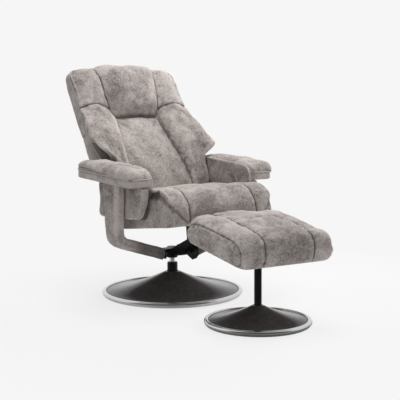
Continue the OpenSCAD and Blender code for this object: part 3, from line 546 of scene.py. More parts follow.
# Rows of [height share, front half width, half width at the piping, crest depth, tip depth, depth
# at which the outer face turns in]
WING = [
    [-0.029, 232, 232, -16, -8, 12], [-0.02, 235, 236, -26, -24, 12], [0, 236, 238, -32, -36, 12],
    [0.1, 231, 238, -40, -54, 12], [0.16, 231, 238, -46, -70, 12], [0.185, 236, 238, -49, -76, 8],
    [0.198, 245, 238, -50, -79, -30], [0.214, 258, 238, -52, -82, -56], [0.23, 271, 239, -54, -85, -68],
    [0.246, 284, 240, -55, -87, -72], [0.26, 294, 241.5, -56, -88, -72], [0.275, 299, 244, -56, -87, -66],
    [0.3, 301, 248, -55, -82, -54], [0.327, 301, 252, -53, -76, -40], [0.36, 299, 258, -50, -68, -18],
    [0.385, 297, 261, -48, -63, 0], [0.41, 294, 264, -46, -58, 10], [0.5, 286, 266, -38, -39, 12],
    [0.6, 279, 266, -28, -17, 12], [0.66, 275, 266, -22, -3, 12], [0.75, 273, 266, -25, 0, 12],
    [0.85, 272, 266, -29, 1, 12], [0.93, 270, 265, -24, 6, 13], [0.955, 266, 262, -19, 10, 14],
    [0.972, 258, 255, -13, 14, 17], [0.986, 240, 238, -4, 20, 22], [0.997, 206, 205, 9, 27, 29],
    [1.003, 168, 168, 27, 34, 35]]
# Height shares of the tip and of the seam across
WING_TIP, WING_CROSS = 0.262, 0.66


def wing_grid():
    """A side bolster: at each height a loop from the seam beside the cushions, over a crest and
    a tip that leans forwards and outwards lower down, and back behind the tip to the piping."""
    fine = [share * BACK_H for share in (0.24, WING_CROSS, 0.99)]
    places = spaced(-17.5, WING[-1][0] * BACK_H, 6, fine, 1.8, 16)
    t = places / BACK_H
    front, side, crest, tip, turn = curve(WING, t)
    seam_x, seam_y = curve(SEAM, t)
    inner, rear = seam_x - 1, BACK_PIPING
    valley = np.minimum(seam_y + 6, rear - 2)
    high = ramp(t, 0.52, 0.68)
    corners = [
        (inner, rear), (inner, mix(rear, valley, 0.6)), (inner, valley),
        (mix(inner, front, 0.04), mix(valley, crest, 0.5 - 0.1 * high)),
        (mix(inner, front, 0.15), mix(valley, crest, 0.92 - 0.3 * high)),
        (mix(inner, front, 0.34 + 0.14 * high), crest),
        (mix(inner, front, 0.62 + 0.1 * high), mix(crest, tip, 0.5 - 0.12 * high)),
        (mix(inner, front, 0.88), tip), (mix(inner, front, 0.985), mix(tip, PIPE_Y, 0.06)),
        (front, mix(tip, turn, 0.35)), (mix(front, side, 0.12) + 1, mix(tip, turn, 0.75)),
        (mix(front, side, 0.55) + 2, turn), (side + 3, mix(turn, PIPE_Y - 9, 0.3)),
        (side + 3, PIPE_Y - 9), (side - 1, PIPE_Y), (side - 7, PIPE_Y + 6),
        (side - 8, rear), (mix(inner, side, 0.5), rear)]
    loop = soften(np.stack([np.stack(np.broadcast_arrays(x, y), -1) for x, y in corners], 1), 3)
    return spots(loop[..., 0], loop[..., 1], places[:, None])


def wing_detail(grid):
    """The seam across each wing, puckers on both sides of it and along the inner seam, the folds above the
    tip, and painted shade behind and under the tip, on the outer face's recess."""
    x, y, z = np.moveaxis(grid, -1, 0)
    t = z / BACK_H
    seam_x = curve(SEAM, t)[0]
    edge = x - seam_x
    across = edge / (274 - seam_x)
    front = ramp(y, PIPE_Y + 2, PIPE_Y - 10)
    bow = 0.014 * (1 - (2 * np.clip(across, 0, 1) - 1) ** 2)
    off = (t - WING_CROSS - bow) * BACK_H
    puffed = 1.2 * (bell(off - 22, 15) + bell(off + 22, 15)) - groove(off, "wing")
    sewn = puckers(grid, off, "wing_cross") + puckers(grid, edge, "wing_inner")
    tip = puckers(grid, t - 0.36, "wing_tip") * ramp(across, 0.3, 0.6)
    pipe = 0.5 * bell(y - PIPE_Y + 2, 5) * ramp(x, 200, 220)
    turn = curve(WING, t)[4]
    # Painted shade on the outer face in the recess behind and under the tip
    behind = ramp(y, turn - 12, turn) * ramp(x, 226, 238) * ramp(t, 0.19, 0.21) * ramp(t, 0.43, 0.36)
    lines = bell(off, 3.4) * front, 0.8 * bell(edge, 4) * front, pipe, 1.1 * behind
    amount = (folds(grid, "wing") * ramp(edge, 0, 22) + sewn + tip + puffed) * front
    return pushed(grid, amount), np.maximum.reduce(lines)


def back_outline():
    """The back's outline at its piping, as [x, height] points: the wings' half width at the piping
    up one side, over the top and down the other."""
    t = np.linspace(WING[0][0], WING[-1][0], 150)
    side = np.stack([curve(WING, t)[1], t * BACK_H], 1)
    top = np.array([[130, 1.008], [80, 1.012], [0, 1.013]]) * [1, BACK_H]
    half = np.concatenate([side, top])
    return even(soften(np.concatenate([half, (half * [-1, 1])[-2::-1], [[0, -18]]]), 1), 260)


# Rear shell
# Rows of [depth, inset of the outline, share of the growth behind the piping] from the tray behind
# the cushions, over its front lip at the piping and out to the rear
SHELL_STATIONS = [
    [38, 16, 0], [36, 7, 0], [30, 3, 0], [26, 1, 0], [25, 0, 0.05], [27, 0, 0.3], [32, 0, 0.62],
    [40, 0, 0.88], [50, 0, 1], [60, 1.5, 1], [68, 5, 1], [74, 10, 1], [79, 16, 1], [83, 22.5, 1],
    [86, 29.5, 1], [88.5, 38.5, 1], [90, 50.5, 1]]
# Rows of [height share, growth in mm]
SHELL_GROWTH = [
    [-0.03, 0.5], [0.236, 0.5], [0.25, 7], [0.27, 19], [0.3, 24], [0.35, 16.5], [0.41, 10], [0.5, 8.5],
    [0.9, 8.5], [1.01, 6]]
# Ends of the upright middle line, how much of the depth the top loses, and the share of the height
# where the cover has its cross seam
SHELL_LINE, SHELL_THIN, SHELL_CROSS = (150, 460), 0.45, 0.47
# Closing outlines, as shares of the way to the middle line, and how far the rear one bulges
TRAY_CAPS, SHELL_CAPS, SHELL_BULGE = (0.94, 0.6, 0.3), (0.12, 0.26, 0.42, 0.58, 0.74, 0.87, 0.95, 0.985), 2


def shell_grid():
    """The rear shell: the back's outline with its lip at the piping, growing behind it and drawn in
    round the rear edge, thinner at the top. Smaller and smaller outlines close it."""
    loop = back_outline()
    t = loop[:, 1] / BACK_H
    line = np.clip(loop[:, 1], *SHELL_LINE)
    core = np.stack([np.zeros(len(loop)), line], -1)
    thin = 1 - SHELL_THIN * ramp(t, 0.82, 1)
    growth = curve(SHELL_GROWTH, t)
    rows = []
    for depth, inset, share in SHELL_STATIONS:
        p = moved_in(loop, core, (inset - share * growth)[:, None])
        deep = BACK_PIPING + (depth - BACK_PIPING) * thin if depth > BACK_PIPING else depth
        rows.append(spots(p[:, 0], deep, p[:, 1]))

    def closing(row, shares, bulge):
        middle = spots(0, row[:, 1].max(), line)
        return [mix(row, middle, k) + [0, bulge * np.sin(np.pi / 2 * k), 0] for k in shares]

    return np.stack(closing(rows[0], TRAY_CAPS, 0) + rows + closing(rows[-1], SHELL_CAPS, SHELL_BULGE))


def shell_detail(grid):
    """Low folds over the rear cover, none on its middle line, and the sewn seam across it."""
    x, y, z = np.moveaxis(grid, -1, 0)
    middle = np.hypot(x, z - np.clip(z, *SHELL_LINE))
    rear = ramp(y, BACK_PIPING + 6, BACK_PIPING + 16) * ramp(middle, 5, 65)
    off = z - SHELL_CROSS * BACK_H
    shown = ramp(y, BACK_PIPING - 4, BACK_PIPING + 4)
    lip = 0.5 * bell(y - PIPE_Y - 3, 4)
    moved = pushed(grid, folds(grid, "shell") * rear - groove(off, "shell") * shown)
    return moved, np.maximum(bell(off, 4) * shown, lip)


# Armrests: inner side, width, front end, length, corner radius, and the pad's rise over the band
ARM_IN, ARM_WIDE, ARM_FRONT, ARM_LONG, ARM_CORNER, PAD_HIGH = 251, 112, -233, 407, 27, 43
ARM_MID = np.array([ARM_IN + ARM_WIDE / 2, ARM_FRONT + ARM_LONG / 2])
# Rows of [height, inset] of the bordered lower half
BAND_ROWS = [
    [0, 52], [0, 38], [0, 22], [0, 10], [0.6, 4.5], [2, 2], [5, 0.4], [9, -0.4], [17, -1], [25, -0.4],
    [29, 0.8], [31.5, 3], [33, 7], [33, 22], [33, 38], [33, 52]]


def stadium(w, d, r):
    """A rounded rectangle about the origin, from quarter circles."""
    a = np.linspace(0, np.pi / 2, 9)
    x, y = w / 2 - r, d / 2 - r
    quarters = []
    for q, (cx, cy) in enumerate(((x, y), (-x, y), (-x, -y), (x, -y))):
        turn = a + q * np.pi / 2
        quarters.append(np.stack([cx + r * np.cos(turn), cy + r * np.sin(turn)], 1))
    return np.concatenate(quarters)


def band_grid():
    """The armrest's bordered lower half: a rounded rectangle carried up, with rounded edges and
    a slight belly, closed below and above by smaller outlines."""
    loop = even(stadium(ARM_WIDE, ARM_LONG, ARM_CORNER), 150)
    end = (ARM_LONG - ARM_WIDE) / 2
    core = np.stack([np.zeros(len(loop)), np.clip(loop[:, 1], -end, end)], 1)
    return np.stack([spots(*(ARM_MID + moved_in(loop, core, inset)).T, z) for z, inset in BAND_ROWS])


def band_detail(grid):
    """Low folds round the band's side, and a dark line along its lower and its upper edge: seam lines, the
    upper one also painted shade under the piping.
    """
    z = grid[:, :, 2]
    # The upper line, under the piping, is both a seam line and painted shade
    seams = np.maximum(0.4 * bell(z - 3, 3), 0.8 * bell(z - 31, 3))
    return pushed(grid, folds(grid, "band") * bell(z - 17, 16)), seams


# Rows of [share of the length, rise or width factor], and a cross loop in shares of width and rise
PAD_RISE = [
    [0, 0.16], [0.012, 0.5], [0.035, 0.76], [0.075, 0.93], [0.14, 1.02], [0.5, 1.05],
    [0.86, 0.99], [0.93, 0.88], [0.97, 0.68], [0.99, 0.45], [1, 0.2]]
PAD_WIDE = [
    [0, 0.74], [0.012, 0.85], [0.035, 0.93], [0.075, 0.98], [0.14, 1], [0.86, 1],
    [0.93, 0.98], [0.97, 0.9], [0.99, 0.82], [1, 0.76]]
PAD_LOOP = [
    [-0.44, -0.02], [-0.495, 0.08], [-0.51, 0.3], [-0.5, 0.62], [-0.44, 0.86], [-0.28, 0.99], [0, 1.05],
    [0.28, 0.99], [0.44, 0.86], [0.5, 0.62], [0.51, 0.3], [0.495, 0.08], [0.44, -0.02], [0, -0.02]]


def pad_grid():
    """The armrest's soft top: a crowned loop across, carried from front to rear, lower and
    narrower at both ends, each end closed by smaller loops."""
    middle = spaced(0.012, 0.988, 0.016, (0.02, 0.975), 0.007, 0.03)
    share = np.concatenate([[0, 0.004], middle, [0.996, 1]])[:, None]
    long, w = ARM_LONG + 2, ARM_WIDE + 5
    loop = rounded(PAD_LOOP, [w, PAD_HIGH], 96)
    x = ARM_MID[0] + loop[:, 0] * w * curve(PAD_WIDE, share)
    z = 32 + loop[:, 1] * PAD_HIGH * curve(PAD_RISE, share)
    grid = spots(x, ARM_FRONT + 0.5 + share * long, z)
    first, last = [[mix(ring.mean(0), ring, k) for k in (0.3, 0.6, 0.85)] for ring in (grid[0], grid[-1])]
    return np.concatenate([first, grid, last[::-1]])


def pad_detail(grid):
    """Low folds over the pad, and the fold along its outer side that opens towards the rear, painted dark as
    shade in the fold, and a dark line at the piping that is both a seam line and painted shade.
    """
    x, y, z = np.moveaxis(grid, -1, 0)
    outer = ARM_IN + ARM_WIDE * 0.55
    line = 37 + 8.5 * ramp(y, -50, 60)
    crease_and_shade = bell(z - line, 3) * ramp(x, outer, outer + 20) * ramp(y, -70, -10)
    moved = pushed(grid, folds(grid, "pad") + puckers(grid, z - 38, "pad") - 3 * crease_and_shade)
    # Painted shade in the fold, and a seam line at the piping that is also painted shade
    return moved, np.maximum(crease_and_shade * 0.8, bell(z - 34, 3))


# Inner side panels and the inner face over them, as [y, z] outlines in the row frame
PANEL_OUTLINE = [
    [115, 508], [60, 505], [-120, 496], [-217, 490], [-222, 484], [-218, 462], [-210, 436], [-199, 408],
    [-184, 372], [-178, 364], [-168, 361], [-60, 357], [60, 351], [90, 350], [108, 355], [115, 371],
    [116, 440]]
SKIN_OUTLINE = [
    [115, 352], [60, 349], [-60, 354], [-160, 358], [-175, 361], [-183, 372], [-198, 406], [-211, 438],
    [-219, 463], [-223, 486], [-223, 508], [-220, 526], [-209, 542], [-186, 552], [-150, 557], [-60, 563],
    [60, 573], [140, 576], [158, 566], [160, 545], [150, 520], [122, 500], [116, 470], [116, 400]]
# Closing outlines of a plate, as shares of the way to its middle line
PLATE_CAPS = (0.12, 0.3, 0.5, 0.7, 0.86, 0.96)


def plate_grid(outline, count, x_in, x_out, edge, crown, y_mid, z_mid):
    """A padded plate: an outline carried across its thickness with rounded edges, both faces
    crowned and closed on the outline's middle line."""
    loop = rounded(outline, 1, count)
    core = np.stack([np.clip(loop[:, 0], *y_mid), np.clip(loop[:, 1], *z_mid)], 1)
    turn = np.linspace(0, np.pi / 2, 6)

    def rim(x, way):
        return [spots(x + way * edge * (1 - np.cos(a)), *moved_in(loop, core, edge * (1 - np.sin(a))).T)
                for a in turn]

    def face(x, way):
        return [spots(x + way * crown * np.sin(np.pi / 2 * k), *mix(loop, core, k * 0.98).T)
                for k in PLATE_CAPS]

    return np.stack(face(x_in, -1)[::-1] + rim(x_in, 1) + rim(x_out, -1)[::-1] + face(x_out, 1))


def panel_detail(grid):
    """Low folds, and no seam."""
    return pushed(grid, folds(grid, "panel")), None


def skin_detail(grid):
    """Low folds, and painted shade along the front edge below the armrest, where the gap to the seat lies in
    shade.
    """
    y, z = grid[..., 1], grid[..., 2]
    front = -175 - (z - 361) * 0.384
    # Painted shade: the front edge below the armrest is painted dark
    return pushed(grid, folds(grid, "skin")), 1.5 * ramp(y, front + 20, front + 10) * ramp(z, 498, 473)


# Bent arm frames: section and its corner radius, slope, bend radius, start, growth of the width
# towards the armrest, and the upright's place
BAR_THICK, BAR_WIDE, BAR_CORNER, BAR_SLOPE, BAR_BEND = 46, 92, 15, 18, 48
BAR_START, BAR_FLARE, UPRIGHT_X, UPRIGHT_Y = (85, -30, 190), 1.16, 317, -55
# Closing rings: share of the section and move in mm at the start, share of the section at the top
BAR_FIRST, BAR_LAST = ((0.3, 0), (0.6, 0), (0.82, 0.2), (0.93, 1.2), (0.985, 4)), (0.97, 0.8, 0.5, 0.2)


def frame_path():
    """Stations of the bent bar: its [x, z] path, y, direction and width factor along a slope
    outwards, an arc, and an upright that widens towards the armrest."""
    start = np.array([BAR_START[0], BAR_START[2]])
    line_z = start[1] + (UPRIGHT_X - start[0]) * np.tan(np.radians(BAR_SLOPE))
    reach = BAR_BEND * np.tan(np.radians((90 - BAR_SLOPE) / 2))
    a = np.radians(np.linspace(-90 + BAR_SLOPE, 0, 15))
    centre = np.array([UPRIGHT_X - BAR_BEND, line_z + reach])
    arc = centre + BAR_BEND * np.stack([np.cos(a), np.sin(a)], 1)
    slope = mix(start, arc[0], np.linspace(0, 1, 18)[:-1, None])
    rise = mix(arc[-1], np.array([UPRIGHT_X, ARM_Z]), np.linspace(0, 1, 20)[1:, None])
    xz = np.concatenate([slope, arc, rise])
    along = np.gradient(xz, axis=0)
    s = np.clip((xz[:, 0] - start[0]) / (arc[0, 0] - start[0]), 0, 1)
    up = np.clip((xz[:, 1] - arc[-1, 1]) / (ARM_Z - arc[-1, 1]), 0, 1)
    return xz, mix(BAR_START[1], UPRIGHT_Y, s), np.arctan2(along[:, 1], along[:, 0]), mix(1, BAR_FLARE, up)


def frame_grid():
    """A rounded rectangle carried along the bent bar, each section square to the path, cut level
    with the armrest above and upright at the hub."""
    xz, y, angle, wider = (v[:, None] for v in frame_path())
    across, out = even(stadium(BAR_WIDE, BAR_THICK, BAR_CORNER), 72).T
    grid = spots(xz[..., 0] - out * np.sin(angle), y + across * wider, xz[..., 1] + out * np.cos(angle))
    grid[-1, :, 2] += grid[-1, :, 1] * np.tan(np.radians(ARM_SLOPE))
    grid[0, :, 0] = np.maximum(grid[0, :, 0], BAR_START[0])
    low, high = grid[0].mean(0), grid[-1].mean(0)
    first = [mix(low, grid[0], k) + [move, 0, 0] for k, move in BAR_FIRST]
    return np.concatenate([first, grid[1:], [mix(high, grid[-1], k) for k in BAR_LAST]])


def frame_detail(grid):
    """Low folds of the cover, closer together inside the bend. The cover is painted darker along the sloping
    bar, under the seat, as painted shade."""
    x, z = grid[..., 0], grid[..., 2]
    from_bend = np.hypot(x - 290, z - 290)
    # Painted shade: darker from the bend towards the hub, under the seat
    return pushed(grid, folds(grid, "bar") + puckers(grid, from_bend, "bend")), 1.15 * ramp(x, 284, 204)


# Footstool pad: half width, depth, rise, distance of the channels, crown of the top
STOOL_HALF, STOOL_DEPTH, STOOL_RISE, STOOL_SEAM, STOOL_CROWN = 202, 384, 112, 105, 14
# Radius of the ends, how far they draw in, their rings, and the angle that the end seam faces
STOOL_ROUND, STOOL_DRAWN, STOOL_TURNS, STOOL_FACING = 42, 34.44, 24, 68
# Closing outlines of an end, as shares of the way to its middle line, their bulge, and where the
# middle line lies
STOOL_CAPS, STOOL_BULGE = (0.04, 0.09, 0.16, 0.28, 0.46, 0.64, 0.8, 0.94), 2.5
STOOL_LINE, STOOL_LINE_Z = 0.34 * STOOL_DEPTH, 54
# The side outline as [share of the depth, share of the rise] corners
STOOL_PROFILE = [
    [-0.3, 0], [-0.44, 0], [-0.485, 0.05], [-0.503, 0.16], [-0.51, 0.36], [-0.503, 0.6], [-0.478, 0.78],
    [-0.43, 0.9], [-0.33, 0.975], [-0.18, 1], [0, 1], [0.18, 1], [0.33, 0.975], [0.43, 0.9], [0.478, 0.78],
    [0.503, 0.6], [0.51, 0.36], [0.503, 0.16], [0.485, 0.05], [0.44, 0], [0.3, 0], [0, 0]]


def stool_grid():
    """The footstool's side outline carried across its width. Towards each end it draws in as a
    quarter circle and lifts, and the end closes on the outline's middle line."""
    s, t = rounded(STOOL_PROFILE, [STOOL_DEPTH, STOOL_RISE], 150).T
    flat = STOOL_HALF - STOOL_ROUND
    up = ramp(t, 0.1, 0.6)

    def ring(x, e, shrink):
        y = s * (STOOL_DEPTH - 1.4 * e)
        crown = STOOL_CROWN * (1 - (x / STOOL_HALF) ** 2)
        z = t * STOOL_RISE + up * (crown - e * 0.9) + (1 - up) * e * 0.45
        middle = np.clip(y, -STOOL_LINE, STOOL_LINE)
        return spots(x, mix(y, middle, shrink), mix(z, STOOL_LINE_Z + e * 0.1, shrink))

    turns = np.linspace(0, np.pi / 2, STOOL_TURNS + 1)[1:]
    ends = [ring(flat + STOOL_ROUND * np.sin(a), STOOL_DRAWN * (1 - np.cos(a)), 0) for a in turns]
    ends += [ring(STOOL_HALF + STOOL_BULGE * np.sin(np.pi / 2 * k), STOOL_DRAWN, k) for k in STOOL_CAPS]
    return across_piece(ring, flat, STOOL_SEAM, ends)


def end_seam(grid):
    """Distance along the surface, across the footstool, from the seam round the nearer end. The
    seam is the ring of the rounded end that faces the given angle outwards."""
    steps = np.linalg.norm(np.diff(grid, axis=0), axis=-1)
    along = np.concatenate([np.zeros((1, grid.shape[1])), np.cumsum(steps, axis=0)])
    at = len(STOOL_CAPS) + round(STOOL_TURNS * (1 - STOOL_FACING / 90))
    return np.minimum(np.abs(along - along[at]), np.abs(along - along[-1 - at]))


def stool_detail(grid):
    """Two sewn channels, a seam round each end, the sunken line across the top with its dimple, and folds."""
    x, y, z = np.moveaxis(grid, -1, 0)
    kink = 9 * bell(y + 20, 26) * (x > 0)
    off = np.abs(np.abs(x) - STOOL_SEAM + kink)
    end = end_seam(grid)
    cross = bell(y - 20 - x * 0.05, 12) * ramp(np.abs(x), STOOL_SEAM, STOOL_SEAM - 20) * ramp(z, 80, 100)
    dimple = 6 * bell(np.hypot(x - STOOL_SEAM + 6, y + 20), 14)
    sewn = puckers(grid, np.minimum(off, end), "stool") - groove(off, "stool") - groove(end, "stool_end")
    ends = ramp(np.abs(x), STOOL_HALF - 12, STOOL_HALF - 2)
    inner = ramp(z, 12, 42) * (1 - ends * bell(z - 57, 12))
    shown = ramp(z, 3, 15)
    moved = pushed(grid, folds(grid, "stool") * inner + (sewn - dimple) * shown - 3.5 * cross)
    return moved, np.maximum(bell(off, 3.2), 0.8 * bell(end, 3.2)) * shown


# Materials
COLOUR, NUMBER, VECTOR = "NodeSocketColor", "NodeSocketFloat", "NodeSocketVector"


def feed(socket, value):
    """Gives a socket a plain value, or links another socket to it."""
    if isinstance(value, bpy.types.NodeSocket):
        socket.id_data.links.new(value, socket)
    else:
        socket.default_value = value


def settle(node, values):
    """Feeds a node's sockets by their names."""
    for name, value in values.items():
        feed(node.inputs[name], value)


def add(tree, kind, *first, **values):
    """A node with its first sockets fed in order, and its named sockets and plain values set."""
    node = tree.nodes.new(kind)
    for name, value in values.items():
        if name in node.inputs:
            feed(node.inputs[name], value)
        else:
            setattr(node, name, value)
    for socket, value in zip(node.inputs, first):
        feed(socket, value)
    return node


def new_group(name, inputs, outputs):
    """An empty node group with these sockets, as (name, kind, value) rows."""
    group = bpy.data.node_groups.new(name, "ShaderNodeTree")
    for title, kind, value in inputs:
        spot = group.interface.new_socket(title, in_out="INPUT", socket_type=kind)
        spot.default_value = value
    for title, kind in outputs:
        group.interface.new_socket(title, in_out="OUTPUT", socket_type=kind)
    given = group.nodes.new("NodeGroupInput").outputs
    return group, given, group.nodes.new("NodeGroupOutput")


def noise(tree, where, scale, detail, rough, warp=0.0):
    """A noise value over the given coordinates."""
    return add(tree, "ShaderNodeTexNoise", Vector=where, Scale=scale, Detail=detail, Roughness=rough,
               Distortion=warp).outputs["Fac"]


def spread(tree, value, low, high, to_low=0.0, to_high=1.0):
    """A value mapped from one range to another and held inside it."""
    return add(tree, "ShaderNodeMapRange", value, low, high, to_low, to_high, clamp=True).outputs[0]


def calc(tree, how, a, b, clamp=False):
    """One step of arithmetic."""
    return add(tree, "ShaderNodeMath", a, b, operation=how, use_clamp=clamp).outputs[0]


def blend_colour(tree, how, amount, a, b):
    """Two colours mixed in one of the mix node's ways; 6 and 7 are its colour sockets."""
    node = add(tree, "ShaderNodeMix", data_type="RGBA", blend_type=how)
    for place, value in ((0, amount), (6, a), (7, b)):
        feed(node.inputs[place], value)
    return node.outputs[2]


# Layers of the nap, patches, blotches and flecks: scale, detail, roughness, warp, the range of the
# noise that is spread out, and the layer's share
NAP = (
    (7, 3, 0.55, 0.8, 0.34, 0.66, 0.37), (34, 5, 0.7, 0.9, 0.34, 0.66, 0.26),
    (130, 4, 0.75, 0.5, 0.38, 0.62, 0.37))
# Middle of the nap's spread, how strongly the surface's bend paints crests lighter and hollows darker as
# painted light and shade, and how far the dark seam lines and painted shade darken the colour
NAP_MIDDLE, CREST_LIGHT_AND_SHADE, CREASE_AND_SHADE_SHARE = 0.52, 0.35, 0.55
# Colour of the pale hairs, and the colour of dark seam lines and painted shade
PALE_HAIR, SEAM_AND_PAINTED_SHADE = (0.62, 0.58, 0.55, 1), (0.03, 0.027, 0.026, 1)


def suede_group():
    """Brushed suede-look cloth: broad patches where the nap lies differently, mottling and fine grain, with
    painted light on crests and painted shade in hollows, and dark seam lines and painted shade from the marks
    on the piece. Puts out a colour, a roughness and a height."""
    group, given, out = new_group(
        "suede_nap_and_shade",
        [("Vector", VECTOR, (0, 0, 0)), ("Light", COLOUR, (1, 1, 1, 1)), ("Dark", COLOUR, (0, 0, 0, 1)),
         ("Mottle", NUMBER, 1.0), ("Crease_and_shade", NUMBER, 0.0), ("Crest", NUMBER, 0.0)],
        [("Colour", COLOUR), ("Roughness", NUMBER), ("Height", NUMBER)])
    where = given["Vector"]
    mixed = -0.5
    for scale, detail, rough, warp, low, high, share in NAP:
        fleck = spread(group, noise(group, where, scale, detail, rough, warp), low, high)
        mixed = calc(group, "ADD", calc(group, "MULTIPLY", fleck, share), mixed)
    mixed = calc(group, "MULTIPLY", mixed, given["Mottle"])
    # Painted light and shade: crests lighter, hollows darker
    mixed = calc(group, "ADD", mixed, calc(group, "MULTIPLY", given["Crest"], CREST_LIGHT_AND_SHADE))
    mixed = calc(group, "ADD", mixed, NAP_MIDDLE, clamp=True)
    base = blend_colour(group, "MIX", mixed, given["Dark"], given["Light"])
    pale = spread(group, noise(group, where, 210, 3, 0.6, 0.4), 0.6, 0.72, 0.0, 0.3)
    base = blend_colour(group, "MIX", pale, base, PALE_HAIR)
    grain = noise(group, where, 620, 2, 0.6)
    base = blend_colour(group, "MULTIPLY", 1.0, base, spread(group, grain, 0.3, 0.7, 0.88, 1.12))
    # Dark seam lines and painted shade, from the piece's marks
    shade = calc(group, "MULTIPLY", given["Crease_and_shade"], CREASE_AND_SHADE_SHARE, clamp=True)
    height = calc(group, "ADD", calc(group, "MULTIPLY", fleck, 0.6), calc(group, "MULTIPLY", grain, 0.4))
    settle(out, {"Colour": blend_colour(group, "MIX", shade, base, SEAM_AND_PAINTED_SHADE),
                 "Roughness": spread(group, fleck, 0, 1, 0.78, 0.95), "Height": height})
    return group


def wear_group():
    """Fine scratches and dust on hard parts. Puts out a roughness, a height and the dust."""
    group, given, out = new_group(
        "light_wear",
        [("Vector", VECTOR, (0, 0, 0)), ("Scale", NUMBER, 60.0), ("Low", NUMBER, 0.3), ("High", NUMBER, 0.5)],
        [("Roughness", NUMBER), ("Height", NUMBER), ("Dust", NUMBER)])
    broad = noise(group, given["Vector"], given["Scale"], 4, 0.6)
    settle(out, {"Roughness": spread(group, broad, 0.3, 0.7, given["Low"], given["High"]),
                 "Height": noise(group, given["Vector"], 900, 2, 0.6),
                 "Dust": spread(group, broad, 0.5, 0.75)})
    return group


SUEDE = suede_group()
WEAR = wear_group()


def new_material(name):
    """A material with its shader, and the object's coordinates."""
    made = bpy.data.materials.new(name)
    made.use_nodes = True
    tree = made.node_tree
    return made, tree, tree.nodes["Principled BSDF"], tree.nodes.new("ShaderNodeTexCoord").outputs["Object"]


def bumped(tree, height, strength, distance):
    """A normal bent by a height, its distance in metres."""
    return add(tree, "ShaderNodeBump", Height=height, Strength=strength, Distance=distance).outputs["Normal"]


def suede_material(name, light, dark, mottle, sheen, tint, sheen_rough=0.35, coat=0.0):
    """Suede-look cloth between a light and a dark colour. A coat shows only on grazing faces."""
    made, tree, shader, where = new_material(name)
    marks = {title: add(tree, "ShaderNodeAttribute", attribute_name=title).outputs["Fac"]
             for title in ("crease_and_shade", "crest")}
    nap = add(tree, "ShaderNodeGroup", node_tree=SUEDE)
    settle(nap, {"Vector": where, "Light": (*light, 1), "Dark": (*dark, 1), "Mottle": mottle,
                 "Crease_and_shade": marks["crease_and_shade"], "Crest": marks["crest"]})
    settle(shader, {"Base Color": nap.outputs["Colour"], "Roughness": nap.outputs["Roughness"],
                    "Normal": bumped(tree, nap.outputs["Height"], 0.35, 0.0012),
                    "Specular IOR Level": 0.12, "Sheen Weight": sheen, "Sheen Roughness": sheen_rough,
                    "Sheen Tint": (*tint, 1)})
    if coat:
        edge = add(tree, "ShaderNodeLayerWeight", Blend=0.5)
        settle(shader, {"Coat Weight": spread(tree, edge.outputs["Facing"], 0.66, 0.82, 0.0, coat),
                        "Coat IOR": 2.0, "Coat Roughness": 0.18})
    return made


def hard_material(name, colour, low, high, metallic, scale, bump, gloss, dust):
    """Painted, plated or moulded parts: one finish whose roughness, dust and height vary."""
    made, tree, shader, where = new_material(name)
    wear = add(tree, "ShaderNodeGroup", node_tree=WEAR)
    settle(wear, {"Vector": where, "Scale": scale, "Low": low, "High": high})
    dusty = [mix(c, 0.3, dust) for c in colour]
    base = blend_colour(tree, "MIX", wear.outputs["Dust"], (*colour, 1), (*dusty, 1))
    settle(shader, {"Base Color": base, "Roughness": wear.outputs["Roughness"],
                    "Normal": bumped(tree, wear.outputs["Height"], bump, 0.0004),
                    "Metallic": metallic, "Specular IOR Level": gloss})
    return made


def plywood_material():
    """Layers of veneer across the board's thickness and a stretched grain on its face."""
    made, tree, shader, where = new_material("plywood")
    stretch = add(tree, "ShaderNodeMapping", Vector=where, Scale=(6, 70, 70))
    grain = noise(tree, stretch.outputs["Vector"], 1.5, 5, 0.6, 0.4)
    ply = add(tree, "ShaderNodeTexWave", wave_type="BANDS", bands_direction="Z", Vector=where, Scale=90,
              Distortion=0.6)
    base = blend_colour(tree, "MIX", grain, (0.55, 0.4, 0.25, 1), (0.38, 0.25, 0.14, 1))
    base = blend_colour(tree, "MULTIPLY", 0.25, base, ply.outputs["Color"])
    settle(shader, {"Base Color": base, "Roughness": 0.65, "Normal": bumped(tree, grain, 0.2, 0.0005)})
    return made


# Light and dark colour, mottle, sheen, its tint and roughness, and coat
CLOTHS = {
    "suede": ((0.54, 0.49, 0.465), (0.15, 0.128, 0.118), 1.35, 0.35, (0.92, 0.88, 0.86)),
    "dark_suede": ((0.062, 0.054, 0.053), (0.02, 0.017, 0.017), 1.0, 0.2, (0.75, 0.73, 0.72), 0.3, 0.9),
    "piping": ((0.6, 0.555, 0.53), (0.42, 0.38, 0.36), 0.6, 0.5, (0.95, 0.92, 0.9))}
# Colour, lowest and highest roughness, metallic, scale of the wear, bump, gloss and dust
HARD = {
    "chrome": ((0.62, 0.62, 0.63), 0.06, 0.16, 1.0, 40, 0.02, 0.5, 0.05),
    "black_steel": ((0.010, 0.010, 0.011), 0.32, 0.5, 0.0, 50, 0.1, 0.15, 0.04),
    "plate_steel": ((0.02, 0.02, 0.02), 0.4, 0.6, 0.0, 50, 0.1, 0.5, 0.12),
    "zinc": ((0.55, 0.55, 0.57), 0.25, 0.42, 1.0, 120, 0.08, 0.5, 0.12),
    "bush_plastic": ((0.02, 0.02, 0.02), 0.4, 0.6, 0.0, 80, 0.08, 0.5, 0.12),
    "knob_plastic": ((0.010, 0.010, 0.010), 0.35, 0.55, 0.0, 80, 0.12, 0.2, 0.05),
    "floor_rubber": ((0.018, 0.018, 0.018), 0.7, 0.9, 0.0, 80, 0.3, 0.5, 0.12)}
finish = {name: suede_material(name, *row) for name, row in CLOTHS.items()}
finish |= {name: hard_material(name, *row) for name, row in HARD.items()}
finish["plywood"] = plywood_material()

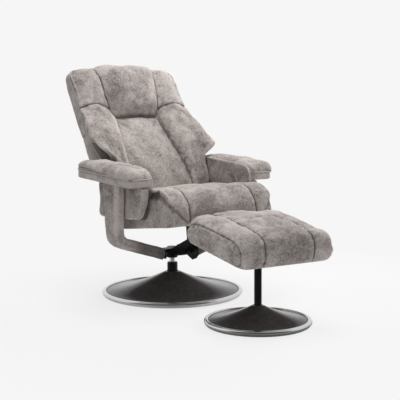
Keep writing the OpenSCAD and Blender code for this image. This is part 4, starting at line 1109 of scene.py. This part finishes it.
slot_of = {row["node"]: row["material_slot"] for row in frame["record"]["subparts"]}
for node, thing in frame["nodes"].items():
    thing.data.materials.clear()
    thing.data.materials.append(finish[slot_of[node]])


def dress(thing, look, body, replaced=()):
    """A new piece gets its finish and its body, and the CAD nodes that it stands for are hidden."""
    thing.data.materials.append(finish[look])
    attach(thing, body)
    if replaced:
        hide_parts(*replaced)


# Making the cushions. A held point stays on its seam.
grid = seat_grid()
x, y, z = np.moveaxis(grid, -1, 0)
held = (z < 6) | (np.abs(np.abs(x / flare(y)) - SEAT_SEAM) < 2) | (y > SEAT_REAR - 6)
held |= (np.abs(x) > SEAT_HALF - 3) & (y > -250)
cushion("seat_cushion_cover", grid, held, 9, seat_detail, IN_SEAT)

# Lower and upper end and the places with closer rings, as shares of the back's height, the spacing
# of the rings, the middle line, the rings held at each end, the cap on the move, and the seams
for name, ends, near, coarse, fine, centre, still, cap, detail in (
        ("back_cushion_cover", (-17 / BACK_H, 0.596), (0.59,), 6.5, 2, MIDDLE_FRONT, 3, 10,
         front_detail("middle", 0.585, (0.597, 0.009), (1, 5))),
        ("headrest_cover", (0.5945, 1.024), (0.6, 1.01), 6, 1.6, HEAD_FRONT, 2, 9,
         front_detail("head", 0.62, (0.6, 0.01), (0.8, 4)))):
    low, high = (share * BACK_H for share in ends)
    grid = front_grid(spaced(low, high, coarse, [share * BACK_H for share in near], fine, 10), centre)
    held = grid[:, :, 1] > 30
    held[:, -REAR_COLUMNS:] = held[:, [0, 1, -1 - REAR_COLUMNS, -2 - REAR_COLUMNS]] = True
    held[:still] = held[-still:] = True
    cushion(name, grid, held, cap, detail, IN_BACK)

grid = wing_grid()
x, y, z = np.moveaxis(grid, -1, 0)
held = (y > PIPE_Y - 3) | (np.abs(z / BACK_H - WING_CROSS) < 0.003) | ((z / BACK_H < WING_TIP) & (x > 218))
held[:2] = held[-2:] = True
cushion("wing_cover", grid, held, 7, wing_detail, IN_BACK)

grid = pad_grid()
x, y, z = np.moveaxis(grid, -1, 0)
held = (z < 34) | ((x < ARM_IN + 2) & (y > 40))
held[:3] = held[-3:] = True
cushion("armrest_pad_cover", grid, held, 6, pad_detail, IN_ARMREST)

grid = stool_grid()
held = (grid[:, :, 2] < 4) | (np.abs(np.abs(grid[:, :, 0]) - STOOL_SEAM) < 2) | (end_seam(grid) < 2.5)
cushion("stool_cushion_cover", grid, held, 10, stool_detail, IN_STOOL_PAD)

puff_all()

dress(finished("seat_cushion_cover"), "suede", "seat", ("seat_cushion", "seat_border"))
dress(finished("back_cushion_cover"), "suede", "back", ("back_cushion",))
dress(finished("headrest_cover"), "suede", "back", ("headrest_cushion",))
for side, flip in (("left", True), ("right", False)):
    for title, body in (("wing", "back"), ("armrest_pad", "frame")):
        cover = finished(f"{title}_cover", f"{title}_cover_{side}", flip)
        dress(cover, "suede", body, (f"{title}_{side}",))
dress(finished("stool_cushion_cover"), "suede", "footstool", ("stool_cushion",))

# Firm upholstered pieces
PANEL = plate_grid(PANEL_OUTLINE, 150, 257, 289.5, 7, 1.2, (-130, 60), (430, 440))
SKIN = plate_grid(SKIN_OUTLINE, 190, 243.5, 262, 6, 1.4, (-130, 60), (440, 470))
BOTH, ONE = (("_left", True), ("_right", False)), (("", False),)
for name, grid, detail, place, body, nodes, sides in (
        ("back_shell_cover", shell_grid(), shell_detail, IN_BACK, "back", ["back_shell"], ONE),
        ("armrest_band", band_grid(), band_detail, IN_ARMREST, "frame", ["armrest_base"], BOTH),
        ("arm_panel_pad", PANEL, panel_detail, IN_ROW, "frame", ["arm_panel"], BOTH),
        ("arm_inner_skin", SKIN, skin_detail, IN_ROW, "frame", [], BOTH),
        ("arm_frame_cover", frame_grid(), frame_detail, IN_ROW, "frame", ["arm_frame"], BOTH)):
    shaped, crease_and_shade = detail(grid)
    for side, flip in sides:
        piece = solid(name + side, mirrored(shaped) if flip else shaped, place, crease_and_shade)
        dress(piece, "suede", body, [n + side for n in nodes])

# Piping
PIPE_BACK, PIPE_ARM, PIPE_EDGE = 3.8, 2.6, 2.8
SKIN_PIPE_FROM, SKIN_PIPE_X = np.array([-221, 476]), 246.5
x, z = (back_outline() * [1.007, 1]).T
piping = swept("back_piping", spots(x, PIPE_Y - 1.5, z), PIPE_BACK, IN_BACK, closed=True)
dress(piping, "piping", "back")
for side, sign in (("left", -1), ("right", 1)):
    loop = ARM_MID + even(stadium(ARM_WIDE + 1.5, ARM_LONG + 1.5, ARM_CORNER), 200)
    path = spots(*loop.T, 33.0) * [sign, 1, 1]
    piping = swept(f"armrest_piping_{side}", path, PIPE_ARM, IN_ARMREST, closed=True)
    dress(piping, "piping", "frame")
    loop = rounded(SKIN_OUTLINE, 1, 260)
    loop = np.roll(loop, -np.argmin(np.hypot(*(loop - SKIN_PIPE_FROM).T)), 0)
    y, z = loop.T
    picked = loop[(z > SKIN_PIPE_FROM[1]) & ((y <= 100) | (z >= 560)) & (y < 150)]
    path = spots(SKIN_PIPE_X, *picked.T) * [sign, 1, 1]
    dress(swept(f"arm_edge_piping_{side}", path, PIPE_EDGE, IN_ROW), "piping", "frame")

# Disc bases: width of a rim and radius of its round outside, and the height of a cover's outer edge
RIM_WIDE, RIM_ROUND, COVER_LOW = 16, 8.5, 21


def rim_profile(radius):
    """A chrome rim: a full half-round outside and a small inner lip."""
    inner = radius - RIM_WIDE
    a = np.radians(np.linspace(-50, 90, 22))
    outer = np.stack([radius - RIM_ROUND + RIM_ROUND * np.cos(a), 15.5 + 9 * np.sin(a)], 1)
    b = np.radians(np.linspace(90, 180, 10))
    lip = np.stack([inner + 4 + 4 * np.cos(b), 20.5 + 4 * np.sin(b)], 1)
    foot = [[inner, 12], [inner, 3.2], [inner + 2, 3], [radius - 9, 3], [radius - 6, 4.5]]
    return np.concatenate([outer, lip, foot])


def cover_profile(radius, neck, top, bore):
    """The trumpet of the cover, as height = rim + rise * share ** 1.5 along the radius."""
    t = np.linspace(0, 1, 60)
    z = mix(COVER_LOW, top, t**1.5)
    z[:3] -= [1.6, 0.5, 0.1]
    under = [[bore, top - 0.2], [bore, top - 3], [neck + 12, top - 9], [radius * 0.6, 24],
             [radius - 4, 14.5], [radius - 0.5, 14.5]]
    return np.concatenate([np.stack([mix(radius, neck, t), z], 1), under])


# Radius of the rim, radius and height of the cover's neck, radius of its bore
for title, radius, neck, top, bore, place, body, prefix in (
        ("chair", 300, 31, 100, 22.2, IN_ROW, "base", "base"),
        ("stool", 200, 20, 74, 14.2, IN_STOOL, "footstool", "stool_base")):
    dress(lathed(f"{title}_rim", rim_profile(radius), place, 256), "chrome", body, (f"{prefix}_ring",))
    cover = lathed(f"{title}_base_cover", cover_profile(radius - RIM_WIDE - 0.2, neck, top, bore), place, 192)
    dress(cover, "dark_suede", body, (f"{prefix}_cover",))

# Room, and the way from the chair to its dim side, in front
FLOOR_WHITE, FLOOR_HALF = (0.922, 0.922, 0.922, 1), 9000
FRONT_WAY, FRONT_DIM = (-0.566, -0.824, 0), 0.1
# Where the floor (in metres) and the sky (as a cosine) start to dim along the way, and where it ends
FLOOR_DIMS, SKY_DIMS = (0.27, 0.34), (0.1, 0.5)
# Share of the floor's own lit colour near the bases, how many times more of it is seen mirrored, and
# the distances in metres over which it fades
LIT_SHARE, LIT_MIRRORED, LIT_FADE = 0.16, 3.0, (0.5, 1.5)
SKY_LIGHT = 0.08


def seen_rays(tree):
    """The kinds of ray, and 1 for those that see a thing and don't light with it."""
    rays = tree.nodes.new("ShaderNodeLightPath").outputs
    direct = calc(tree, "MAXIMUM", rays["Is Camera Ray"], rays["Is Glossy Ray"])
    return rays, calc(tree, "MAXIMUM", direct, rays["Is Transmission Ray"])


def plain_strength(tree, rays, where, dims):
    """Strength of the plain white: 1 for the camera, and less in front of the chair for the rest."""
    ahead = add(tree, "ShaderNodeVectorMath", where, FRONT_WAY, operation="DOT_PRODUCT")
    dim = spread(tree, ahead.outputs["Value"], *dims, 1.0, FRONT_DIM)
    return calc(tree, "MAXIMUM", dim, rays["Is Camera Ray"])


def backdrop():
    """A floor that shows plain white to the camera and in reflections. A small share of its own
    lit colour is mixed in round the bases, which keeps a faint shadow there."""
    made, tree, shader, where = new_material("floor_paper")
    settle(shader, {"Base Color": (0.86, 0.86, 0.86, 1), "Roughness": 0.9, "Specular IOR Level": 0.0})
    rays, direct = seen_rays(tree)
    far = add(tree, "ShaderNodeVectorMath", where, operation="LENGTH").outputs["Value"]
    near = spread(tree, far, *LIT_FADE, LIT_SHARE, 0.0)
    more = calc(tree, "MULTIPLY", near, calc(tree, "MULTIPLY", rays["Is Glossy Ray"], LIT_MIRRORED))
    share = calc(tree, "SUBTRACT", 1.0, calc(tree, "ADD", near, more))
    strength = plain_strength(tree, rays, where, FLOOR_DIMS)
    glow = add(tree, "ShaderNodeEmission", Color=FLOOR_WHITE, Strength=strength)
    share = calc(tree, "MULTIPLY", direct, share)
    both = add(tree, "ShaderNodeMixShader", share, shader.outputs[0], glow.outputs[0])
    feed(tree.nodes["Material Output"].inputs["Surface"], both.outputs[0])
    return made


corners = np.array([[-1, -1, 0], [1, -1, 0], [1, 1, 0], [-1, 1, 0]]) * FLOOR_HALF
floor = new_mesh("floor", corners, [[0, 1, 2, 3]], IN_ROW)
floor.data.materials.append(backdrop())
floor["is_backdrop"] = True

scene.world = bpy.data.worlds.new("studio")
scene.world.use_nodes = True
sky = scene.world.node_tree
sky.nodes.clear()
rays, direct = seen_rays(sky)
strength = plain_strength(sky, rays, sky.nodes.new("ShaderNodeTexCoord").outputs["Generated"], SKY_DIMS)
lit = add(sky, "ShaderNodeBackground", Color=(1, 1, 1, 1), Strength=SKY_LIGHT)
shown = add(sky, "ShaderNodeBackground", Color=FLOOR_WHITE, Strength=strength)
either = add(sky, "ShaderNodeMixShader", direct, lit.outputs[0], shown.outputs[0])
add(sky, "ShaderNodeOutputWorld", Surface=either.outputs[0])

# Square soft lamps: their size in metres, the point that they face, and each one's power and place
LAMP_SIZE, LAMP_AIM = 1.6, (0, 0, 0.5)
LAMPS = {
    "top": (78, (0, 0, 3.4)), "right": (80, (3.0, 0.3, 2.0)), "right_front": (22, (2.6, -1.8, 1.2)),
    "left_front": (18, (-2.8, -1.8, 1.8)), "front": (7, (-1.8, -2.8, 0.7)),
    "rear_left": (12, (-1.8, 2.4, 2.2))}
for name, (power, spot) in LAMPS.items():
    data = bpy.data.lights.new(name, "AREA")
    data.shape, data.size, data.energy = "SQUARE", LAMP_SIZE, power
    lamp = bpy.data.objects.new(name, data)
    lamp.visible_glossy = False
    turn = Vector(np.subtract(LAMP_AIM, spot)).to_track_quat("-Z", "Y").to_matrix().to_4x4()
    lamp.matrix_world = Matrix.Translation(spot) @ turn
    scene.collection.objects.link(lamp)

# Camera: angles in degrees, distance and height in metres, focal length in pixels of the image
VIEW_AZIMUTH, VIEW_PITCH, VIEW_DISTANCE, VIEW_HEIGHT = -34.5, 6.3, 3.81, 0.825
VIEW_PAN, VIEW_ROLL, VIEW_PIXELS, IMAGE_PIXELS, SENSOR = -1.8, -0.3, 901, 400, 36
a, b, c, roll = np.radians([VIEW_AZIMUTH, VIEW_AZIMUTH + VIEW_PAN, VIEW_PITCH, VIEW_ROLL])
ahead = np.array([-np.sin(b) * np.cos(c), np.cos(b) * np.cos(c), -np.sin(c)])
right = np.array([np.cos(b), np.sin(b), 0])
above = np.cross(right, ahead)
across, up = right * np.cos(roll) + above * np.sin(roll), above * np.cos(roll) - right * np.sin(roll)
turn = np.eye(4)
turn[:3, 0], turn[:3, 1], turn[:3, 2] = across, up, -ahead
turn[:3, 3] = VIEW_DISTANCE * np.sin(a), -VIEW_DISTANCE * np.cos(a), VIEW_HEIGHT
camera = bpy.data.objects.new("camera", bpy.data.cameras.new("camera"))
camera.data.sensor_width, camera.data.lens = SENSOR, SENSOR * VIEW_PIXELS / IMAGE_PIXELS
camera.matrix_world = Matrix(turn.tolist())
scene.collection.objects.link(camera)
scene.camera = camera
scene.view_settings.view_transform = "Standard"

low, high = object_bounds()
{"cad": [list(cad_low), list(cad_high)], "visual": [list(low), list(high)]}
